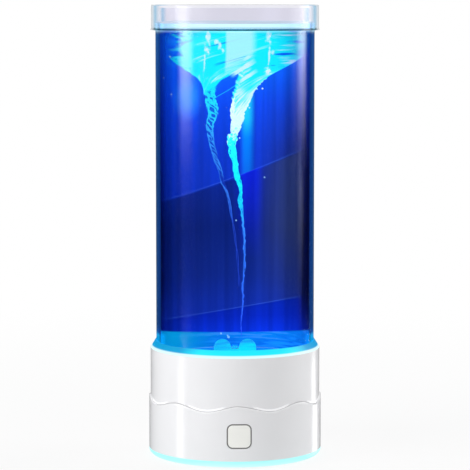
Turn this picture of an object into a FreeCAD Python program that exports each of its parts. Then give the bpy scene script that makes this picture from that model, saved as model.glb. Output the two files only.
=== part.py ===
import FreeCAD, Part
import math
import os

import Sketcher

# Tornado lamp: a clear tank of blue water on a round white base.
# A motor under the tank floor turns a magnet carrier, the magnets pull an impeller round
# inside the tank, and the impeller draws the water down into a tall funnel.
# Lengths are in millimetres. The origin is on the table under the middle of the lamp,
# +Z is up and the push button faces -Y.

# The driving sizes. Each one is a cell of the sheet, and every feature is bound to the cells.
SIZES = {
    # Clearances
    "slip_fit": 0.1,
    "housing_gap": 0.2,
    "skirt_gap": 0.25,
    "lid_gap": 0.3,
    "press_gap": 0.02,
    "running_gap": 0.05,
    # Tank: a clear tube that stands on the collar's ledge, with a floor sealed by a ring
    "tube_radius": 45.0,
    "tube_wall": 2.5,
    "tube_length": 193.8,
    "floor_thickness": 3.0,
    "seal_wire": 0.95,
    "floor_boss_radius": 3.0,
    "floor_boss_height": 0.6,
    "water_drop": 6.3,
    "water_gap": 0.2,
    # Funnel in the water
    "funnel_core_radius": 24.6,
    "funnel_rim": 0.8,
    "funnel_swing": 8.5,
    "funnel_drift": 3.6,
    "funnel_tip_gap": 4.0,
    # Lid
    "lid_overlap": 3.8,
    "lid_wall": 2.1,
    "lid_lip": 0.3,
    "lid_lip_height": 0.8,
    "lid_inside_height": 7.6,
    "lid_top": 1.8,
    "lid_bevel": 0.5,
    "lid_seal_width": 2.0,
    "lid_seal_height": 1.0,
    # Clear collar between the tank and the upper shell
    "collar_wall": 1.7,
    "collar_top_wall": 0.5,
    "collar_flare": 4.2,
    "ledge_width": 3.5,
    "ledge_thickness": 2.0,
    # Shells
    "rim_wall": 1.3,
    "shell_step": 0.9,
    "upper_wall": 2.0,
    "lower_wall": 2.0,
    "skirt_wall": 1.6,
    "upper_height": 28.5,
    "lower_height": 28.9,
    "wave_rise": 1.7,
    "rim_round": 0.8,
    "shelf_depth": 11.5,
    "shelf_thickness": 2.0,
    # Foot, base plate and glow ring
    "pad_radius": 5.0,
    "pad_height": 1.6,
    "pad_recess": 0.8,
    "pad_inset": 10.0,
    "plate_thickness": 2.4,
    "glow_height": 3.8,
    "glow_round": 3.4,
    "glow_wall": 1.8,
    "glow_spigot": 2.4,
    "glow_ledge": 2.4,
    # Posts and screws
    "post_radius": 4.0,
    "post_inset": 8.15,
    "rib_thickness": 1.6,
    "screw_radius": 1.3,
    "screw_head_radius": 2.4,
    "screw_head_height": 1.2,
    "long_screw": 10.0,
    "short_screw": 6.0,
    "small_screw_radius": 0.8,
    "small_head_radius": 1.44,
    "standoff_radius": 2.5,
    # Main circuit board
    "board_thickness": 1.6,
    "board_lift": 4.8,
    "board_margin": 2.2,
    "header_width": 6.0,
    "header_depth": 4.5,
    "header_height": 5.0,
    "motor_header_reach": 19.25,
    "switch_header_reach": 24.75,
    "chip_width": 5.0,
    "chip_height": 1.5,
    "chip_left": 15.0,
    "chip_front": 7.0,
    "capacitor_radius": 3.15,
    "capacitor_height": 7.0,
    "capacitor_right": 17.0,
    "capacitor_front": 5.0,
    "side_light_size": 3.0,
    "side_light_height": 1.4,
    # Power inlet
    "jack_width": 9.0,
    "jack_height": 11.0,
    "jack_length": 14.0,
    "jack_nose_radius": 4.2,
    "jack_nose_length": 2.7,
    "jack_bore_radius": 3.15,
    "jack_bore_depth": 9.5,
    "jack_axis": 6.5,
    "jack_pin_radius": 1.0,
    # Motor deck and light board
    "deck_thickness": 2.0,
    "deck_drop": 8.5,
    "deck_margin": 5.3,
    "deck_boss_radius": 3.5,
    "light_board_drop": 0.9,
    "light_board_bore_gap": 2.5,
    "light_size": 5.0,
    "light_height": 1.6,
    "light_ring": 24.0,
    # Motor
    "motor_radius": 12.2,
    "motor_length": 12.3,
    "motor_wall": 1.0,
    "motor_screw_ring": 8.5,
    "end_cap_thickness": 1.5,
    "bearing_radius": 3.0,
    "bearing_flange": 4.0,
    "field_magnet": 1.5,
    "field_split": 6.0,
    "field_gap": 0.8,
    "shaft_radius": 1.0,
    "terminal_length": 3.0,
    "terminal_width": 2.4,
    "terminal_thickness": 0.6,
    "terminal_reach": 7.5,
    # Magnetic drive
    "drive_gap": 0.8,
    "carrier_radius": 12.0,
    "carrier_thickness": 5.0,
    "carrier_hub_radius": 3.5,
    "carrier_hub_length": 4.7,
    "drive_magnet_radius": 4.0,
    "drive_magnet_height": 3.0,
    "drive_magnet_ring": 7.2,
    # Impeller
    "spindle_radius": 1.0,
    "spindle_depth": 2.0,
    "impeller_lift": 0.2,
    "impeller_disc_radius": 10.5,
    "impeller_disc_height": 3.0,
    "impeller_hub_radius": 3.4,
    "impeller_hub_height": 1.5,
    "bush_wall": 1.15,
    "blade_reach": 12.1,
    "blade_height": 6.8,
    "blade_thickness": 3.2,
    "blade_round": 0.9,
    "cap_radius": 1.7,
    "cap_height": 2.0,
    "impeller_magnet_radius": 2.5,
    "impeller_magnet_height": 2.2,
    "impeller_magnet_ring": 6.5,
    "swept_gap": 1.4,
    # Push button and its switch
    "button_width": 13.2,
    "button_corner": 3.0,
    "button_gap": 0.35,
    "button_centre": 14.1,
    "button_flange": 1.2,
    "button_flange_thickness": 1.0,
    "button_travel": 0.8,
    "stem_width": 3.0,
    "stem_length": 2.2,
    "plunger_radius": 1.75,
    "plunger_reach": 1.0,
    "plunger_depth": 0.9,
    "switch_width": 6.0,
    "switch_depth": 3.5,
    "switch_board_width": 18.0,
    "switch_board_height": 13.0,
    "switch_screw_reach": 7.0,
    "bracket_width": 17.0,
    "bracket_upright": 3.0,
    "bracket_thickness": 2.0,
    "bracket_foot": 7.9,
    # Wires
    "wire_radius": 0.6,
    "wire_pitch": 2.4,
    "wire_lead": 5.0,
    "wire_bow": 2.0,
    "wire_inset": 5.6,
    "wire_hole": 2.4,
}

# Counts, and angles in degrees
POSTS = 4
POST_ANGLE = 180 / POSTS
WAVES = 8
POINTS_PER_WAVE = 4
LIGHTS = 12
SIDE_LIGHTS = 8
SIDE_LIGHT_ANGLE = 180 / SIDE_LIGHTS
SCREW_SIDES = 8
WIRE_SIDES = 6
WIRE_ANGLE = 105

doc = FreeCAD.newDocument("TornadoLamp")
sheet = doc.addObject("Spreadsheet::Sheet", "Sizes")
for row, (alias, number) in enumerate(SIZES.items(), start=1):
    sheet.set(f"A{row}", alias)
    sheet.set(f"B{row}", str(number))
    sheet.setAlias(f"B{row}", alias)
doc.recompute()

NODES = []


class Size:
    """A length together with the sheet formula that gives it."""

    def __init__(self, value, formula):
        self.value = value
        self.formula = formula

    def __float__(self):
        return float(self.value)

    def __neg__(self):
        return Size(-self.value, f"(0 - {self.formula})")

    def __add__(self, other):
        other = as_size(other)
        return Size(self.value + other.value, f"({self.formula} + {other.formula})")

    def __sub__(self, other):
        other = as_size(other)
        return Size(self.value - other.value, f"({self.formula} - {other.formula})")

    def __mul__(self, factor):
        return Size(self.value * factor, f"({self.formula} * {factor:.9f})")

    def __truediv__(self, divisor):
        return Size(self.value / divisor, f"({self.formula} / {divisor})")

    def __rsub__(self, other):
        return as_size(other) - self

    __radd__ = __add__
    __rmul__ = __mul__


def as_size(number):
    """Leave a Size alone, and wrap a plain number."""
    if isinstance(number, Size):
        return number
    return Size(number, f"{number}")


def leg(slant, side):
    """The other short side of a right triangle."""
    value = math.sqrt(slant.value ** 2 - side.value ** 2)
    return Size(value, f"sqrt({slant.formula} ^ 2 - {side.formula} ^ 2)")


def cell(alias):
    """The size in one cell of the sheet."""
    return Size(float(sheet.get(alias)), f"Sizes.{alias}")


def bind(feature, name, size):
    """Bind one property of a feature to the sheet."""
    feature.setExpression(name, as_size(size).formula)


# Bodies and their features

def new_body(name, is_node=True):
    """An empty body. A node is a separate piece of the lamp and gets a file of its own."""
    body = doc.addObject("PartDesign::Body", name)
    body.Label = name
    if is_node:
        NODES.append(body)
    return body


def origin_part(body, role):
    """One plane or axis of the body's own origin."""
    return [item for item in body.Origin.OriginFeatures if item.Role == role][0]


def new_sketch(body, name, plane, shift):
    """A sketch on one of the body's origin planes, moved by `shift` in the plane's own axes."""
    sketch = body.newObject("Sketcher::SketchObject", name)
    sketch.AttachmentSupport = [(origin_part(body, plane), "")]
    sketch.MapMode = "FlatFace"
    for letter, size in zip("xyz", shift):
        bind(sketch, f"AttachmentOffset.Base.{letter}", size)
    return sketch


def level_sketch(body, name, height):
    """A sketch that lies flat at a height."""
    return new_sketch(body, name, "XY_Plane", (0, 0, height))


def front_sketch(body, name, y):
    """An upright sketch that faces the front, with sketch x along X and sketch y up."""
    return new_sketch(body, name, "XZ_Plane", (0, 0, -as_size(y)))


def fix_point(sketch, geometry, vertex, x, y):
    """Hold one point of the sketch at x and y."""
    for kind, size in (("DistanceX", as_size(x)), ("DistanceY", as_size(y))):
        held = Sketcher.Constraint(kind, -1, 1, geometry, vertex, size.value)
        number = sketch.addConstraint(held)
        sketch.setExpression(f"Constraints[{number}]", size.formula)


def draw_polygon(sketch, corners):
    """A closed outline through the corners, each held by its own formulas."""
    points = [FreeCAD.Vector(float(x), float(y), 0) for x, y in corners]
    lines = [
        sketch.addGeometry(Part.LineSegment(here, there), False)
        for here, there in zip(points, points[1:] + points[:1])
    ]
    for line, following in zip(lines, lines[1:] + lines[:1]):
        sketch.addConstraint(Sketcher.Constraint("Coincident", line, 2, following, 1))
    for line, (x, y) in zip(lines, corners):
        fix_point(sketch, line, 1, x, y)


def draw_circle(sketch, x, y, radius):
    """A full circle held by its centre and radius."""
    centre = FreeCAD.Vector(float(x), float(y), 0)
    up = FreeCAD.Vector(0, 0, 1)
    circle = sketch.addGeometry(Part.Circle(centre, up, float(radius)), False)
    fix_point(sketch, circle, 3, x, y)
    number = sketch.addConstraint(Sketcher.Constraint("Radius", circle, float(radius)))
    sketch.setExpression(f"Constraints[{number}]", as_size(radius).formula)


def draw_dome(sketch, left, right, low, high):
    """An upright outline with a half-round top that spans its whole width."""
    radius = (right - left) / 2
    middle = (right + left) / 2
    spring = high - radius
    corners = [(left, spring), (left, low), (right, low), (right, spring)]
    points = [FreeCAD.Vector(float(x), float(y), 0) for x, y in corners]
    lines = [
        sketch.addGeometry(Part.LineSegment(here, there), False)
        for here, there in zip(points, points[1:])
    ]
    centre = FreeCAD.Vector(float(middle), float(spring), 0)
    whole = Part.Circle(centre, FreeCAD.Vector(0, 0, 1), float(radius))
    arc = sketch.addGeometry(Part.ArcOfCircle(whole, 0, math.pi), False)
    for line, following in zip(lines, lines[1:]):
        sketch.addConstraint(Sketcher.Constraint("Coincident", line, 2, following, 1))
    sketch.addConstraint(Sketcher.Constraint("Coincident", lines[-1], 2, arc, 1))
    sketch.addConstraint(Sketcher.Constraint("Coincident", arc, 2, lines[0], 1))
    for line, (x, y) in zip(lines, corners):
        fix_point(sketch, line, 1, x, y)
    fix_point(sketch, lines[-1], 2, *corners[-1])
    held = sketch.addConstraint(Sketcher.Constraint("DistanceY", -1, 1, arc, 3, float(spring)))
    sketch.setExpression(f"Constraints[{held}]", spring.formula)


def circle(radius, x=0, y=0):
    """A drawing of one circle."""
    return lambda sketch: draw_circle(sketch, x, y, radius)


def polygon(corners):
    """A drawing of one closed outline."""
    return lambda sketch: draw_polygon(sketch, corners)


def rectangle(left, right, low, high):
    """A drawing of one rectangle."""
    return polygon([(left, low), (right, low), (right, high), (left, high)])


def dome(left, right, low, high):
    """A drawing of one round-topped outline."""
    return lambda sketch: draw_dome(sketch, left, right, low, high)


def slanted_rectangle(ring, angle, length, width):
    """A drawing of a rectangle centred on a ring, with its length pointing away from the axis."""
    along = (math.cos(math.radians(angle)), math.sin(math.radians(angle)))
    corners = []
    for out, side in ((-0.5, -0.5), (0.5, -0.5), (0.5, 0.5), (-0.5, 0.5)):
        reach = ring + length * out
        across = width * side
        corners.append((reach * along[0] - across * along[1], reach * along[1] + across * along[0]))
    return polygon(corners)


def on_ring(ring, angle):
    """The x and y of a point on a ring about the axis."""
    return ring * math.cos(math.radians(angle)), ring * math.sin(math.radians(angle))


def many_sided(radius, sides, x, y):
    """A drawing of a regular outline inside a circle, which keeps a repeated piece light."""
    corners = []
    for side in range(sides):
        out, up = on_ring(radius, 360 * side / sides)
        corners.append((out + x, up + y))
    return polygon(corners)


def turn(body, name, corners, at=(0, 0), kind="Revolution"):
    """Revolve an outline of (radius, height) corners about the upright axis at (x, y)."""
    sketch = new_sketch(body, name + "_section", "XZ_Plane", (at[0], 0, -as_size(at[1])))
    draw_polygon(sketch, corners)
    feature = body.newObject("PartDesign::" + kind, name)
    feature.Profile = (sketch, [""])
    feature.ReferenceAxis = (sketch, ["V_Axis"])
    feature.Angle = 360
    doc.recompute()
    return feature


def extrude(body, name, sketch, drawings, length, kind, is_reversed):
    """Pad or pocket a sketch, and check that a pocket has cut something."""
    for drawing in drawings:
        drawing(sketch)
    before = body.Shape.Volume if kind == "Pocket" else 0
    feature = body.newObject("PartDesign::" + kind, name)
    feature.Profile = (sketch, [""])
    bind(feature, "Length", length)
    feature.Reversed = is_reversed
    doc.recompute()
    if kind == "Pocket" and body.Shape.Volume > before - 1e-4:
        raise RuntimeError(f"{body.Label}: {name} cuts nothing")
    return feature


def pad(body, name, drawings, bottom, top):
    """Raise drawings from the height `bottom` to the height `top`."""
    sketch = level_sketch(body, name + "_outline", bottom)
    return extrude(body, name, sketch, drawings, as_size(top) - bottom, "Pad", False)


def pocket(body, name, drawings, bottom, top):
    """Cut drawings away between two heights."""
    sketch = level_sketch(body, name + "_outline", top)
    return extrude(body, name, sketch, drawings, as_size(top) - bottom, "Pocket", False)


def front_pad(body, name, drawings, front, back):
    """Pad upright drawings from y = front back to y = back."""
    sketch = front_sketch(body, name + "_outline", front)
    return extrude(body, name, sketch, drawings, as_size(back) - front, "Pad", True)


def front_pocket(body, name, drawings, front, back):
    """Cut upright drawings away from y = front back to y = back."""
    sketch = front_sketch(body, name + "_outline", front)
    return extrude(body, name, sketch, drawings, as_size(back) - front, "Pocket", False)


def around(body, features, count):
    """Repeat features evenly about the lamp's axis."""
    pattern = body.newObject("PartDesign::PolarPattern", features[0].Name + "_ring")
    pattern.Originals = features
    pattern.Axis = (origin_part(body, "Z_Axis"), [""])
    pattern.Angle = 360
    pattern.Occurrences = count
    body.Tip = pattern
    doc.recompute()
    return pattern


def dress(body, name, kind, size, picked):
    """Fillet or chamfer the edges that `picked` chooses on the body so far."""
    tip = body.Tip
    names = [f"Edge{i}" for i, edge in enumerate(tip.Shape.Edges, start=1) if picked(edge)]
    if not names:
        raise RuntimeError(f"{body.Label}: no edge for {name}")
    feature = body.newObject("PartDesign::" + kind, name)
    feature.Base = (tip, names)
    bind(feature, "Radius" if kind == "Fillet" else "Size", size)
    doc.recompute()
    return feature


def ring_edge(radius, height):
    """Picks the round edge of a radius at a height."""
    def picked(edge):
        return (
            isinstance(edge.Curve, Part.Circle)
            and abs(edge.Curve.Radius - float(radius)) < 1e-3
            and abs(edge.Curve.Center.z - float(height)) < 1e-3
        )
    return picked


def depth_edge(edge):
    """Picks straight edges that run from front to back."""
    if not isinstance(edge.Curve, Part.Line):
        return False
    return abs(abs(edge.tangentAt(edge.FirstParameter).y) - 1) < 1e-6


def screws(name, seat, ring, angle, direction, head_radius, shank_radius, length):
    """One screw on a ring. The head sits on `seat` and the shank runs in `direction`, 1 or -1."""
    body = new_body(name)
    x, y = on_ring(ring, angle)
    head_end = seat - HEAD_HEIGHT * direction
    tip = seat + length * direction
    head = pad(body, "head", [many_sided(head_radius, SCREW_SIDES, x, y)],
               *((head_end, seat) if direction > 0 else (seat, head_end)))
    shank = pad(body, "shank", [many_sided(shank_radius, SCREW_SIDES, x, y)],
                *((seat, tip) if direction > 0 else (tip, seat)))
    return body, [head, shank]


# Sizes that follow from the cells

SLIP = cell("slip_fit")
HEAD_HEIGHT = cell("screw_head_height")
SCREW = cell("screw_radius")
HEAD = cell("screw_head_radius")
PILOT = SCREW + cell("running_gap")
PRESS = cell("press_gap")
RUN = cell("running_gap")

# Heights, from the table up
plate_bottom = cell("pad_height") - cell("pad_recess")
plate_top = plate_bottom + cell("plate_thickness")
glow_top = plate_bottom + cell("glow_height")
seam = glow_top + cell("lower_height")
shell_top = seam + cell("upper_height")
shelf_top = shell_top - cell("shelf_depth")
shelf_bottom = shelf_top - cell("shelf_thickness")
tube_foot = shelf_top + cell("ledge_thickness")
floor_top = tube_foot + cell("floor_thickness")
boss_top = floor_top + cell("floor_boss_height")
tube_top = tube_foot + cell("tube_length")
water_top = tube_top - cell("water_drop")
lid_shoulder = tube_top + cell("lid_seal_height")
lid_bottom = tube_top - cell("lid_overlap")
lid_ceiling = lid_shoulder + cell("lid_inside_height")
lid_height = lid_ceiling + cell("lid_top")
collar_top = shell_top + cell("collar_flare")

# Radii, from the tank outward
tube = cell("tube_radius")
tube_bore = tube - cell("tube_wall")
floor_radius = tube_bore - SLIP
water_radius = tube_bore - cell("water_gap")
sleeve_bore = tube + SLIP
sleeve_radius = sleeve_bore + cell("collar_wall")
shell_bore = sleeve_radius + cell("housing_gap")
upper_radius = shell_bore + cell("rim_wall")
upper_inner = upper_radius - cell("upper_wall")
lower_radius = upper_radius + cell("shell_step")
lower_inner = lower_radius - cell("lower_wall")
skirt_radius = lower_inner - cell("skirt_gap")
skirt_inner = skirt_radius - cell("skirt_wall")
ledge_bore = tube_bore - cell("ledge_width")

# The ring of long posts, and what stands inside it
post_ring = skirt_inner - cell("post_inset")
post_side = post_ring - cell("post_radius")
shelf_bore = post_side - cell("housing_gap")
board_radius = post_side - cell("board_margin")
board_bottom = plate_top + cell("board_lift")
board_top = board_bottom + cell("board_thickness")
board_screw_ring = board_radius - cell("standoff_radius") * 2
plate_radius = lower_inner - cell("housing_gap") - cell("glow_wall") - cell("glow_ledge") / 2
pad_ring = plate_radius - cell("pad_inset")
glow_ledge_bore = plate_radius - cell("glow_ledge")
deck_radius = skirt_inner - cell("deck_margin")
deck_top = shelf_bottom - cell("deck_drop")
deck_bottom = deck_top - cell("deck_thickness")
deck_screw_ring = deck_radius - cell("deck_boss_radius")
light_board_top = shelf_bottom - cell("light_board_drop")
light_board_bottom = light_board_top - cell("board_thickness")
light_board_radius = post_side - cell("housing_gap") * 3
light_board_bore = cell("carrier_radius") + cell("light_board_bore_gap")
light_screw_ring = light_board_radius - HEAD - cell("housing_gap") * 2
wire_ring = light_board_radius - cell("wire_inset")

# Motor and magnetic drive
motor = cell("motor_radius")
motor_bore = motor - cell("motor_wall")
motor_mouth = deck_bottom - cell("motor_length")
motor_end = motor_mouth - cell("end_cap_thickness")
field_top = deck_bottom - cell("motor_wall") - cell("small_screw_radius") * 2
field_bottom = motor_mouth + cell("motor_wall") + cell("running_gap")
armature_radius = motor_bore - SLIP - cell("field_magnet") - cell("field_gap")
shaft = cell("shaft_radius")
carrier_top = tube_foot - cell("drive_gap")
carrier_bottom = carrier_top - cell("carrier_thickness")
carrier_hub_end = carrier_bottom - cell("carrier_hub_length")
shaft_top = carrier_bottom + cell("motor_wall")
shaft_end = motor_end + cell("end_cap_thickness") / 4

# Impeller
impeller_bottom = boss_top + cell("impeller_lift")
disc_top = impeller_bottom + cell("impeller_disc_height")
hub_top = disc_top + cell("impeller_hub_height")
blade_top = disc_top + cell("blade_height")
bush_radius = cell("spindle_radius") + RUN + cell("bush_wall")
cap_bottom = hub_top + cell("impeller_lift")
cap_top = cap_bottom + cell("cap_height")
spindle_bottom = boss_top - cell("floor_boss_height") - cell("spindle_depth")
spindle_top = cap_top - cell("cap_height") / 4
swept_radius = cell("blade_reach") + cell("swept_gap")
swept_top = blade_top + cell("swept_gap")

# Push button and switch, measured back from the front of the lower shell
button_z = glow_top + cell("button_centre")
button_half = cell("button_width") / 2
flange_half = button_half + cell("button_flange")
flange_front = leg(lower_inner, flange_half) - cell("lid_gap")
flange_back = flange_front - cell("button_flange_thickness")
stem_end = flange_back - cell("stem_length")
switch_front = stem_end - cell("plunger_reach")
switch_back = switch_front - cell("switch_depth")
switch_board_back = switch_back - cell("board_thickness")
bracket_back = switch_board_back - cell("bracket_thickness")
skirt_bottom = button_z + flange_half + cell("housing_gap") * 3
switch_low = button_z - cell("switch_board_height") / 2
switch_high = button_z + cell("switch_board_height") / 2

# Power inlet at the back
jack_face = leg(lower_inner, cell("jack_width") / 2) - cell("lid_gap") * 2
jack_back = jack_face - cell("jack_length")
jack_nose = jack_face + cell("jack_nose_length")
jack_z = board_top + cell("jack_axis")


# Foot and base

def make_foot_pads():
    body = new_body("foot_pads")
    radius = cell("pad_radius")
    height = cell("pad_height")
    outline = [(0, 0), (radius, 0), (radius, height), (0, height)]
    foot = turn(body, "foot", outline, at=(pad_ring, 0))
    around(body, [foot], POSTS)


def make_base_plate():
    """The floor of the base: recesses for the feet below, standoffs for the board above."""
    body = new_body("base_plate")
    turn(body, "disc", [
        (0, plate_bottom), (plate_radius, plate_bottom), (plate_radius, plate_top), (0, plate_top),
    ])
    standoff_x, standoff_y = on_ring(board_screw_ring, POST_ANGLE)
    standoff = pad(body, "standoff", [circle(cell("standoff_radius"), standoff_x, standoff_y)],
                   plate_top, board_bottom)
    pilot = pocket(body, "standoff_pilot", [circle(PILOT, standoff_x, standoff_y)],
                   plate_bottom + cell("pad_recess"), board_bottom)
    around(body, [standoff, pilot], POSTS)
    recess = pocket(body, "foot_recess", [circle(cell("pad_radius") + SLIP, pad_ring, 0)],
                    plate_bottom, plate_bottom + cell("pad_recess"))
    around(body, [recess], POSTS)
    screw_x, screw_y = on_ring(post_ring, POST_ANGLE)
    hole = pocket(body, "screw_hole", [circle(SCREW + SLIP, screw_x, screw_y)],
                  plate_bottom, plate_top)
    head = pocket(body, "screw_recess", [circle(HEAD + SLIP, screw_x, screw_y)],
                  plate_bottom, plate_bottom + HEAD_HEIGHT)
    around(body, [hole, head], POSTS)


def make_base_screws():
    body, screw = screws("base_screws", plate_bottom + HEAD_HEIGHT, post_ring, POST_ANGLE, 1,
                         HEAD, SCREW, cell("long_screw"))
    around(body, screw, POSTS)


def make_glow_ring():
    """The frosted ring that the lower shell stands on, with a ledge over the plate's edge."""
    body = new_body("glow_ring")
    spigot = lower_inner - cell("housing_gap")
    spigot_bore = spigot - cell("glow_wall")
    spigot_top = glow_top + cell("glow_spigot")
    plate_bore = plate_radius + SLIP
    turn(body, "ring", [
        (plate_bore, plate_bottom), (lower_radius, plate_bottom), (lower_radius, glow_top),
        (spigot, glow_top), (spigot, spigot_top), (spigot_bore, spigot_top),
        (spigot_bore, glow_top), (glow_ledge_bore, glow_top), (glow_ledge_bore, plate_top),
        (plate_bore, plate_top),
    ])
    dress(body, "rounding", "Fillet", cell("glow_round"), ring_edge(lower_radius, plate_bottom))


# The seam between the two shells is one smooth wave with its crest over the button

def wave_line(radius, lift):
    """A closed curve on a cylinder that rises and falls WAVES times in one turn."""
    points = []
    steps = WAVES * POINTS_PER_WAVE
    for step in range(steps):
        angle = 2 * math.pi * step / steps
        height = seam.value + lift + cell("wave_rise").value * math.cos(WAVES * angle)
        points.append(FreeCAD.Vector(radius * math.sin(angle), -radius * math.cos(angle), height))
    curve = Part.BSplineCurve()
    curve.interpolate(Points=points, PeriodicFlag=True)
    return curve.toShape()


def wave_block(name, keep_radius, lift, depth):
    """What lies above the seam, or below it for a negative depth, outside `keep_radius`."""
    inner = skirt_inner.value * 0.8
    outer = lower_radius.value * 1.2
    sheet_of_wave = Part.makeRuledSurface(wave_line(inner, lift), wave_line(outer, lift))
    block = doc.addObject("Part::Feature", name)
    solid = sheet_of_wave.extrude(FreeCAD.Vector(0, 0, depth))
    block.Shape = solid.cut(Part.makeCylinder(keep_radius, shell_top.value * 2))
    return block


def part_at_seam(name, blank, block):
    """Cut a shell's blank with the seam."""
    shell = doc.addObject("Part::Cut", name)
    shell.Base = blank
    shell.Tool = block
    doc.recompute()
    return shell


def make_lower_shell():
    """The outer shell round the base, with the button's opening and the power inlet's hole."""
    blank = new_body("lower_shell_blank", is_node=False)
    blank_top = seam + cell("wave_rise") * 2
    turn(blank, "wall", [
        (lower_inner, glow_top), (lower_radius, glow_top),
        (lower_radius, blank_top), (lower_inner, blank_top),
    ])
    front = -(lower_radius + cell("lower_wall"))
    behind = -(lower_inner - cell("lower_wall"))
    half = button_half + cell("button_gap")
    front_pocket(blank, "button_opening",
                 [rectangle(-half, half, button_z - half, button_z + half)], front, behind)
    dress(blank, "opening_corners", "Fillet", cell("button_corner") + cell("button_gap"), depth_edge)
    rear_inside = lower_inner - cell("lower_wall")
    rear_outside = lower_radius + cell("lower_wall")
    front_pocket(blank, "inlet_hole", [circle(cell("jack_nose_radius") + cell("lid_gap"), 0, jack_z)],
                 rear_inside, rear_outside)
    above = wave_block("above_the_seam", skirt_inner.value, 0, lower_radius.value)
    cut = part_at_seam("lower_shell_cut", blank, above)
    shell = doc.addObject("Part::Fillet", "lower_shell")
    shell.Base = cut
    low_rim = seam.value - cell("wave_rise").value - 0.1
    rim = [
        number for number, edge in enumerate(cut.Shape.Edges, start=1)
        if edge.BoundBox.ZMin > low_rim and edge.Curve.TypeId == "Part::GeomBSplineCurve"
        and abs(math.hypot(*edge.Vertexes[0].Point[:2]) - lower_radius.value) < 0.01
        and abs(math.hypot(*edge.Vertexes[-1].Point[:2]) - lower_radius.value) < 0.01
    ]
    radius = cell("rim_round").value
    shell.Edges = [(number, radius, radius) for number in rim]
    NODES.append(shell)


def make_upper_shell():
    """The inner shell: a shelf for the collar, a skirt inside the lower shell, and the posts."""
    blank = new_body("upper_shell_blank", is_node=False)
    wall_low = seam - cell("wave_rise") * 2
    thick_top = seam + cell("wave_rise") * 2
    turn(blank, "wall", [
        (skirt_inner, skirt_bottom), (skirt_radius, skirt_bottom), (skirt_radius, wall_low),
        (upper_radius, wall_low), (upper_radius, shell_top), (shell_bore, shell_top),
        (shell_bore, shelf_top), (shelf_bore, shelf_top), (shelf_bore, shelf_bottom),
        (upper_inner, shelf_bottom), (upper_inner, thick_top), (skirt_inner, thick_top),
    ])
    post_x, post_y = on_ring(post_ring, POST_ANGLE)
    post = pad(blank, "post", [circle(cell("post_radius"), post_x, post_y)], plate_top, shelf_bottom)
    rib = pad(blank, "post_rib", [slanted_rectangle(
        (post_ring + upper_inner) / 2, POST_ANGLE, upper_inner - post_ring, cell("rib_thickness"))],
        skirt_bottom, shelf_bottom)
    pilot = pocket(blank, "post_pilot", [circle(PILOT, post_x, post_y)],
                   plate_top, plate_top + cell("long_screw"))
    around(blank, [post, rib, pilot], POSTS)
    boss = pad(blank, "deck_boss", [circle(cell("deck_boss_radius"), deck_screw_ring, 0)],
               deck_top, shelf_bottom)
    boss_rib = pad(blank, "boss_rib", [slanted_rectangle(
        (deck_screw_ring + upper_inner) / 2, 0, upper_inner - deck_screw_ring,
        cell("rib_thickness"))], deck_top, shelf_bottom)
    boss_pilot = pocket(blank, "boss_pilot", [circle(PILOT, deck_screw_ring, 0)],
                        deck_top, deck_top + cell("short_screw"))
    around(blank, [boss, boss_rib, boss_pilot], POSTS)
    below = wave_block("below_the_seam", skirt_radius.value, cell("housing_gap").value,
                       -cell("wave_rise").value * 8)
    shell = part_at_seam("upper_shell", blank, below)
    NODES.append(shell)


# Tank, collar and water

def make_light_collar():
    """The clear collar: a ledge under the tube, a sleeve round it and a flare over the shell."""
    body = new_body("light_collar")
    turn(body, "ring", [
        (ledge_bore, shelf_top), (sleeve_radius, shelf_top), (sleeve_radius, shell_top),
        (upper_radius - SLIP, shell_top), (sleeve_bore + cell("collar_top_wall"), collar_top),
        (sleeve_bore, collar_top), (sleeve_bore, tube_foot), (ledge_bore, tube_foot),
    ])


def make_tank_tube():
    body = new_body("tank_tube")
    turn(body, "wall", [
        (tube_bore, tube_foot), (tube, tube_foot), (tube, tube_top), (tube_bore, tube_top),
    ])


def make_tank_floor():
    """The tank's floor, with a groove for its seal and a boss that holds the spindle."""
    body = new_body("tank_floor")
    lip = (cell("floor_thickness") - cell("seal_wire") * 2 - SLIP) / 2
    groove_low = tube_foot + lip
    groove_high = floor_top - lip
    groove_radius = floor_radius - cell("seal_wire") * 2 - SLIP
    hole = cell("spindle_radius") + PRESS
    turn(body, "disc", [
        (0, tube_foot), (floor_radius, tube_foot), (floor_radius, groove_low),
        (groove_radius, groove_low), (groove_radius, groove_high), (floor_radius, groove_high),
        (floor_radius, floor_top), (cell("floor_boss_radius"), floor_top),
        (cell("floor_boss_radius"), boss_top), (hole, boss_top), (hole, spindle_bottom),
        (0, spindle_bottom),
    ])


def make_tank_seal():
    """The square-section ring that seals the floor against the tube."""
    body = new_body("tank_seal")
    middle = tube_foot + cell("floor_thickness") / 2
    low = middle - cell("seal_wire")
    high = middle + cell("seal_wire")
    inner = floor_radius - cell("seal_wire") * 2
    turn(body, "ring", [(inner, low), (floor_radius, low), (floor_radius, high), (inner, high)])


def make_spindle():
    pin = doc.addObject("Part::Cylinder", "spindle")
    bind(pin, "Radius", cell("spindle_radius"))
    bind(pin, "Height", spindle_top - spindle_bottom)
    bind(pin, "Placement.Base.z", spindle_bottom)
    NODES.append(pin)
    cap = new_body("spindle_cap")
    hole = cell("spindle_radius") + PRESS
    turn(cap, "cap", [
        (hole, cap_bottom), (cell("cap_radius"), cap_bottom), (cell("cap_radius"), cap_top),
        (0, cap_top), (0, spindle_top), (hole, spindle_top),
    ])


# The funnel is wide and bowl-shaped at the top, thins to a thread, and sways on its way down

FUNNEL_SECTIONS = 24
FUNNEL_END = 0.985
CORE_FADE = 0.331
BOWL_DEPTH = 0.131
SWING_DEPTH = 0.339
SWING_SPAN = 0.155
DRIFT_DEPTH = 0.667
TIP_SHARPNESS = 12


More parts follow.
